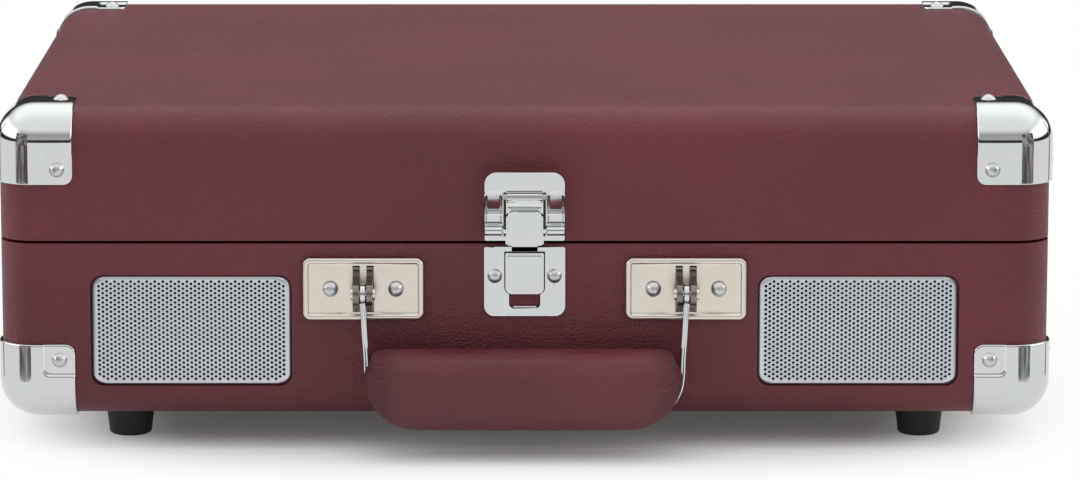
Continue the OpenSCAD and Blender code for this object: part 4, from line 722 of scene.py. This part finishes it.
# %% Grip sleeve
GRIP_LOW, GRIP_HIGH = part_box("handle_grip")[0].z / MM - 1.3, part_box("handle_grip")[1].z / MM - 1.8
GRIP_BACK, GRIP_THICK = 1.9, 20.4
GRIP_END_LEFT, GRIP_END_RIGHT = 54.3, 53.3
CORNER_LONG, CORNER_TALL = 17, 19.5
SQUARENESS = 2 / 3.8
END_STEPS = (0.05, 0.3, 0.8, 1.5, 2.2, 2.9, 3.8, 5, 6.5, 8.5, 11, 14, 17, 20)


def quarter(t):
    """How far a quarter circle has fallen at t, from 0 to 1."""
    return 1 - math.sqrt(max(0.0, 1 - max(0.0, t) ** 2))


def grip_points(x, count=44):
    near = (GRIP_END_RIGHT if x > 0 else GRIP_END_LEFT) - abs(x)
    low = GRIP_LOW + 0.3 + CORNER_TALL * quarter(min(1.0, 1 - near / CORNER_LONG))
    notch = 0.9 * (1 - smooth_step(3.2, 5.5, near)) + 5.6 * (1 - smooth_step(1.6, 3.0, near))
    high = GRIP_HIGH - 0.3 - notch
    half_out = GRIP_THICK / 2 - 0.4 - 2.8 * quarter(1 - near / 3)
    mid_z, half_z = (low + high) / 2, max(0.2, (high - low) / 2)
    mid_out = GRIP_BACK + GRIP_THICK / 2
    ring = []
    for k in range(count):
        c, n = math.cos(2 * math.pi * k / count), math.sin(2 * math.pi * k / count)
        ring.append((x, mid_out + half_out * math.copysign(abs(c) ** SQUARENESS, c),
                     mid_z + half_z * math.copysign(abs(n) ** SQUARENESS, n)))
    return ring


stations = [-GRIP_END_LEFT + v for v in END_STEPS]
stations += [-30 + 5 * k for k in range(13)]
stations += [GRIP_END_RIGHT - v for v in reversed(END_STEPS)]
work = bmesh.new()
loft(work, [[work.verts.new((x * MM, FACE_Y - out * MM, z * MM)) for x, out, z in grip_points(at)]
            for at in stations])
sleeve = mesh_from(work, "padded_grip")
print("sleeve:", len(stations), "rings")

# %% [markdown]
# The sleeve is blown up a little by a cloth simulation, so that it is crowned as stuffed
# leather is. The solver wants even squares, so the sleeve is remeshed first. No point may
# move more than a fraction of a millimetre, or the grip would leave the strap.

# %% Stuff the grip
def blown_up(mesh, voxel, pressure, cap, last=20):
    """The mesh remeshed and inflated by the cloth solver; no point moves further than cap."""
    trial = bpy.data.objects.new("trial", mesh)
    scene.collection.objects.link(trial)
    remesh = trial.modifiers.new("even_grid", "REMESH")
    remesh.mode, remesh.voxel_size = "VOXEL", voxel
    graph = bpy.context.evaluated_depsgraph_get()
    start = bpy.data.meshes.new_from_object(trial.evaluated_get(graph))
    trial.modifiers.clear()
    trial.data = start
    solver = trial.modifiers.new("stuffing", "CLOTH")
    solver.settings.use_pressure = True
    solver.settings.uniform_pressure_force = pressure
    solver.settings.effector_weights.gravity = 0
    solver.point_cache.frame_start, solver.point_cache.frame_end = 1, last
    for number in range(1, last + 1):
        scene.frame_set(number)
    graph = bpy.context.evaluated_depsgraph_get()
    swollen = bpy.data.meshes.new_from_object(trial.evaluated_get(graph))
    furthest = 0.0
    for before, after in zip(start.vertices, swollen.vertices):
        move = after.co - before.co
        if move.length > cap:
            after.co = before.co + move.normalized() * cap
        furthest = max(furthest, min(move.length, cap))
    bpy.data.objects.remove(trial)
    scene.frame_set(1)
    print("blown up:", len(swollen.vertices), "points, furthest mm", round(furthest * 1000, 2))
    return swollen


sleeve = blown_up(sleeve, voxel=1.6 * MM, pressure=4.0, cap=0.35 * MM)
grip = keep_piece("padded_grip", sleeve, "handle", "leatherette", "handle_grip", smooth=0)
grip.data.materials[0] = grip_skin
rounder = grip.modifiers.new("rounder", "SUBSURF")
rounder.levels = rounder.render_levels = 1

# %% [markdown]
# A corner guard is pressed from one sheet over the rounded corner. It stands proud on the
# edges and steps down to a flat tab round each rivet. The sheet is a grid on the three
# faces of a sharp corner, and every point is then moved onto the rounded corner.

# %% Corner guards
EDGE_R, GUARD_L = 12 * MM, 25.6 * MM
GUARD_RISE, TAB_RISE, GUARD_LIFT = 1.2 * MM, 0.7 * MM, 0.05 * MM
TAB_FROM, TAB_ROUND, FLAP_ROUND = 14.9 * MM, 2.0 * MM, 3.4 * MM
GUARD_LINES = [v * MM for v in (
    0, 1, 2, 3, 4, 5, 6, 7, 8, 9, 10, 11, 12, 12.7, 13.3, 13.8, 14.2, 14.5, 14.8, 15.1, 15.4, 15.8, 16.4,
    17.2, 18.2, 19.4, 20.6, 21.8, 22.4, 23, 23.6, 24.2, 24.7, 25.05, 25.3, 25.47, 25.6)]


def guard_height(u, v, inset):
    """How far the sheet stands off the case: lower on the tab, rounded off at its rim."""
    across = math.hypot(max(TAB_FROM + TAB_ROUND - u, 0), max(TAB_FROM + TAB_ROUND - v, 0)) - TAB_ROUND
    rise = TAB_RISE + (GUARD_RISE - TAB_RISE) * smooth_step(-0.5 * MM, 0.5 * MM, across)
    edge = max(0.0, min(1.0, inset / (0.65 * MM)))
    return rise * (0.35 + 0.65 * math.sqrt(1 - (1 - edge) ** 2))


def guard_sheet(work, place):
    """One guard, as its front and back points; place turns distances from the faces into a point."""
    made = {}

    def corner(axis, u, v):
        start = GUARD_L - FLAP_ROUND
        s, t = (max(0.0, w - start) / FLAP_ROUND for w in (u, v))
        inset = min(GUARD_L - u, GUARD_L - v)
        if s > 0 and t > 0:
            s, t = s * math.sqrt(1 - t * t / 2), t * math.sqrt(1 - s * s / 2)
            inset = FLAP_ROUND * (1 - math.hypot(s, t))
            u, v = start + s * FLAP_ROUND, start + t * FLAP_ROUND
        flat = [u, v]
        flat.insert(axis, 0.0)
        key = tuple(round(c * 1e6) for c in flat)
        if key not in made:
            core = Vector([max(c, EDGE_R) for c in flat])
            out = (Vector(flat) - core).normalized()
            skin = core + out * EDGE_R
            made[key] = (work.verts.new(place(skin + out * guard_height(u, v, inset))),
                         work.verts.new(place(skin + out * GUARD_LIFT)))
        return made[key]

    count = len(GUARD_LINES) - 1
    for axis in range(3):
        grid = [[corner(axis, u, v) for v in GUARD_LINES] for u in GUARD_LINES]
        for i in range(count):
            for j in range(count):
                ring = [grid[i][j], grid[i + 1][j], grid[i + 1][j + 1], grid[i][j + 1]]
                work.faces.new([pair[0] for pair in ring])
                work.faces.new([pair[1] for pair in reversed(ring)])
    return dict(made.values())


def corner_guards(name, node, body, case, up):
    low, high = case
    work = bmesh.new()
    for sx in (-1, 1):
        for sy in (-1, 1):
            def place(p, sx=sx, sy=sy):
                x = high.x - p.x if sx > 0 else low.x + p.x
                y = high.y - p.y if sy > 0 else low.y + p.y
                return (x, y, high.z - p.z if up else low.z + p.z)
            back_of = guard_sheet(work, place)
            for edge in [e for e in work.edges if len(e.link_faces) == 1]:
                a, b = edge.verts
                if a in back_of and b in back_of:
                    work.faces.new([a, b, back_of[b], back_of[a]])
    keep_piece(name, mesh_from(work, name), body, "bright_nickel", node, smooth=60)


corner_guards("lid_guards", "lid_corner_guards", "lid", LID_BOX, up=True)
corner_guards("base_guards", "base_corner_guards", "base", BASE_BOX, up=False)

# %% [markdown]
# The speaker grilles are sheet steel pierced with about a thousand one-millimetre holes in
# staggered rows. The sheet is built from six-sided cells, each with a round hole, which fit
# together like a honeycomb. The margin between the outer cells and the frame is filled in.

# %% Pierced grilles
HOLE_R, HOLE_DX, HOLE_DY = 0.5 * MM, 1.36 * MM, 1.6 * MM
SHEET_T, GRILLE_ROUND, GRILLE_MARGIN = 0.5 * MM, 4 * MM, 1.1 * MM
HEXAGON = [(2 / 3 * HOLE_DX, 0), (HOLE_DX / 3, HOLE_DY / 2), (-HOLE_DX / 3, HOLE_DY / 2),
           (-2 / 3 * HOLE_DX, 0), (-HOLE_DX / 3, -HOLE_DY / 2), (HOLE_DX / 3, -HOLE_DY / 2)]
CELL = [point for a, b in zip(HEXAGON, HEXAGON[1:] + HEXAGON[:1])
        for point in (a, ((a[0] + b[0]) / 2, (a[1] + b[1]) / 2))]
HOLE = [(HOLE_R * math.cos(a), HOLE_R * math.sin(a)) for a in (math.radians(30 * k) for k in range(12))]


def panel(node):
    """A flat node's middle, half width, half height and front."""
    low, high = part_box(node)
    return (low + high) / 2, (high.x - low.x) / 2, (high.z - low.z) / 2, low.y


def round_frame(half_w, half_h, r, steps=8):
    ring = []
    for q, (sx, sz) in enumerate(((1, 1), (-1, 1), (-1, -1), (1, -1))):
        for k in range(steps + 1):
            a = math.radians(90 * q + 90 * k / steps)
            ring.append((sx * (half_w - r) + r * math.cos(a), sz * (half_h - r) + r * math.sin(a)))
    return ring


def inside_frame(x, z, half_w, half_h, r):
    dx, dz = max(abs(x) - half_w + r, 0), max(abs(z) - half_h + r, 0)
    return math.hypot(dx, dz) <= r


def hole_centres(half_w, half_h):
    """Staggered rows, as far out as the margin allows."""
    reach = HOLE_DY / 2 + GRILLE_MARGIN
    across, up = int(half_w / HOLE_DX) + 1, int(half_h / HOLE_DY) + 1
    spots = [(i * HOLE_DX, (j + (i % 2) / 2) * HOLE_DY)
             for i in range(-across, across + 1) for j in range(-up, up + 1)]
    return [(x, z) for x, z in spots
            if inside_frame(x, z, half_w - reach, half_h - reach, GRILLE_ROUND - GRILLE_MARGIN)]


def pierced_grille(name, node):
    mid, half_w, half_h, front = panel(node)
    work = bmesh.new()
    made, on_cells = {}, set()

    def spot(x, z):
        key = (round(x * 1e7), round(z * 1e7))
        if key not in made:
            made[key] = work.verts.new((mid.x + x, front, mid.z + z))
        return made[key]

    centres = hole_centres(half_w, half_h)
    for cx, cz in centres:
        for k in range(12):
            m = (k + 1) % 12
            quad = [spot(cx + x, cz + z) for x, z in (CELL[k], CELL[m], HOLE[m], HOLE[k])]
            work.faces.new(quad)
            on_cells.update(quad[:2])
    comb = [e for e in work.edges if len(e.link_faces) == 1 and on_cells.issuperset(e.verts)]
    ring = [work.verts.new((mid.x + x, front, mid.z + z))
            for x, z in round_frame(half_w, half_h, GRILLE_ROUND)]
    border = [work.edges.new((ring[k], ring[(k + 1) % len(ring)])) for k in range(len(ring))]
    bmesh.ops.triangle_fill(work, use_beauty=True, use_dissolve=False, edges=comb + border)
    work.normal_update()
    backward = [face for face in work.faces if face.normal.y > 0]
    bmesh.ops.reverse_faces(work, faces=backward)
    piece = keep_piece(name, mesh_from(work, name, turn=False), "base", "grille_metal", node, smooth=30)
    thick = piece.modifiers.new("sheet", "SOLIDIFY")
    thick.thickness, thick.offset = SHEET_T, -1
    print(name, len(centres), "holes")


for side in ("left", "right"):
    pierced_grille(f"pierced_grille_{side}", f"speaker_grille_{side}")

# %% [markdown]
# Black gauze is stretched behind each grille, so that the speaker doesn't show through the
# holes, and a rolled wire rim finishes the edge of the pierced sheet.

# %% Gauze and rims
RIM_SECTION = ((0.0, 0.0), (0.05, 0.35), (0.3, 0.62), (0.65, 0.7), (1.0, 0.55), (1.15, 0.1), (1.2, -0.3))
RIM_W, RIM_FLAT, RIM_SUNK, GAUZE_BEHIND = 1.2, 0.64, 0.45, 0.75


def behind_grille(name, node):
    mid, half_w, half_h, front = panel(node)
    work = bmesh.new()
    rows = []
    for inset, out in RIM_SECTION:
        ring = round_frame(half_w - inset * MM, half_h - inset * MM, GRILLE_ROUND - inset * MM)
        y = front + RIM_SUNK * MM - out * MM * RIM_FLAT
        rows.append([work.verts.new((mid.x + x, y, mid.z + z)) for x, z in ring])
    loft(work, rows, ends=False)
    keep_piece(name + "_rim", mesh_from(work, name + "_rim"), "base", "grille_metal")
    work = bmesh.new()
    inner = round_frame(half_w - RIM_W * MM, half_h - RIM_W * MM, GRILLE_ROUND - RIM_W * MM)
    press(work, [((mid.x + x) / MM, (mid.z + z) / MM) for x, z in inner],
          depth=(FACE_Y - front) / MM - GAUZE_BEHIND, thick=0.05)
    piece = keep_piece(name + "_gauze", mesh_from(work, name + "_gauze"), "base", "speaker_paper")
    piece.data.materials[0] = gauze


for side in ("left", "right"):
    behind_grille(f"grille_{side}", f"speaker_grille_{side}")

# %% [markdown]
# The studio is a pale floor in a pale room. Under a lamp weak enough for the metal the
# floor would look grey, so what the camera and mirrors see of it glows. Close to the case
# it glows only faintly, as painted light that lifts its real shadow a little.

# %% Floor
def flat_sheet(name, corners):
    mesh = bpy.data.meshes.new(name)
    mesh.from_pydata(corners, [], [(0, 1, 2, 3)])
    new = bpy.data.objects.new(name, mesh)
    scene.collection.objects.link(new)
    return new


FLOOR_HALF, FLOOR_Z = 12.0, -0.0002
# NEAR_GLOW is painted light: a faint glow that makes the case's shadow on the floor lighter
NEAR_GLOW, FAR_GLOW = 0.07, 0.97
GLOW_FROM, GLOW_FULL = 0.18, 0.30
floor = flat_sheet("studio_floor", [(sx * FLOOR_HALF, sy * FLOOR_HALF, FLOOR_Z)
                                    for sx, sy in ((-1, -1), (1, -1), (1, 1), (-1, 1))])
paper = Finish("studio_floor", shade(240, 240, 240), 0.75, Specular_IOR_Level=0.1)
paper.wear({"Base Color": paper.blend(paper.noise(3, 2), shade(239, 239, 239), shade(242, 242, 242))})
oval = paper.place() * (1.4, 0.9, 1.0)
away = paper.node("ShaderNodeVectorMath", {"operation": "LENGTH"}, {0: oval}, "Value")
seen, mirrored, through = (paper.node("ShaderNodeLightPath", {}, {}, f"Is {kind} Ray")
                           for kind in ("Camera", "Glossy", "Transmission"))
glow = paper.node("ShaderNodeEmission", {}, {"Color": (1, 1, 1, 1), "Strength": 1.0})
glowing = away.steps(GLOW_FROM, GLOW_FULL) * (FAR_GLOW - NEAR_GLOW) + NEAR_GLOW
mixed = paper.node("ShaderNodeMixShader", {}, {
    0: (seen + mirrored + through).clamp() * glowing,
    1: Wire(paper, paper.shader.outputs[0]), 2: glow})
paper.tree.links.new(mixed.socket, paper.out.inputs[0])
floor.data.materials.append(paper.material)
print("floor:", FLOOR_HALF * 2, "m wide")

# %% [markdown]
# The room is bright overhead and at the sides, plain in front and dim low down behind.
# Polished metal shows whatever surrounds it, so a room that is white all round would leave
# the plating looking like grey paint. The dim low wall gives it its dark lines, and it
# keeps the top of the lid from turning milky at a low view.

# %% Room
FRONT_WALL, SIDE_WALL, BACK_WALL, CEILING, HIGH_BACK = 0.7, 3.6, 0.05, 1.4, 0.5
world = bpy.data.worlds.new("studio_room")
scene.world = world
world.use_nodes = True
room = Bench(world.node_tree)
look = room.node("ShaderNodeTexCoord", {}, {}, "Generated")
sideways, back, up = (room.node("ShaderNodeSeparateXYZ", {}, {"Vector": look}, axis) for axis in "XYZ")
front = 1 - back.steps(-0.55, 0.35)
aside = sideways.size().steps(0.55, 0.9)
overhead = up.steps(0.3, 0.65)
front_wall = front * up.steps(0.1, 0.16) * (1 - up.steps(0.2, 0.5) * 0.5) * (FRONT_WALL - BACK_WALL)
side_walls = aside * up.steps(0.1, 0.2) * SIDE_WALL
high_behind = (1 - front) * up.steps(0.55, 0.8) * HIGH_BACK
walls = front_wall + BACK_WALL + side_walls
sky = room.node("ShaderNodeBackground", {}, {
    "Strength": walls * (1 - overhead) + overhead * CEILING + high_behind})
output = room.tree.nodes.new("ShaderNodeOutputWorld")
room.tree.links.new(sky.socket, output.inputs[0])
print("room:", len(room.tree.nodes), "nodes")

# %% [markdown]
# One large lamp overhead gives the floor its shadow. Mirrors don't see it, because it would
# lie in the chrome as a hard white patch. Two dark cards stand beside each front corner, a
# photographer's trick: only mirrors see them and they cast no shadow, but chrome between
# dark cards looks round. Their mottled grey keeps the dark streak from looking painted on.

# %% Lamp and dark cards
CARD_AWAY, CARD_TALL, CORNER_IN = 0.12, 0.16, 0.008
CARDS = (("near", 34, 0.04), ("far", 119, 0.006))  # degrees round the corner, half width

light = bpy.data.lights.new("top_light", "AREA")
light.shape = "RECTANGLE"
light.size, light.size_y = 1.32, 1.12
light.energy = 6
lamp = bpy.data.objects.new("top_light", light)
lamp.location = (-0.2, 0.0, 1.9)
lamp.rotation_euler = (-lamp.location).to_track_quat("-Z", "Y").to_euler()
lamp.visible_glossy = False
scene.collection.objects.link(lamp)

card_grey = Finish("black_card", (0.28, 0.26, 0.25, 1), 0.9)
mottle = card_grey.noise(55, 2, 0.5).steps(0.35, 0.65)
card_grey.wear({"Base Color": card_grey.blend(mottle, (0.1, 0.09, 0.085, 1), (0.5, 0.48, 0.46, 1))})
for side, where in ((-1, "left"), (1, "right")):
    for word, turn, half in CARDS:
        a = math.radians(turn)
        out = Vector((side * math.sin(a), -math.cos(a), 0))
        foot = Vector((side * (BASE_BOX[1].x - CORNER_IN), FACE_Y + CORNER_IN, 0)) + out * CARD_AWAY
        across, tall = Vector((-out.y, out.x, 0)) * half, Vector((0, 0, CARD_TALL))
        card = flat_sheet(f"black_card_{word}_{where}", [
            foot - across, foot + across, foot + across + tall, foot - across + tall])
        card.data.materials.append(card_grey.material)
        card.visible_camera = card.visible_diffuse = False
        card.visible_shadow = card.visible_transmission = False
print("studio lit")

# %% [markdown]
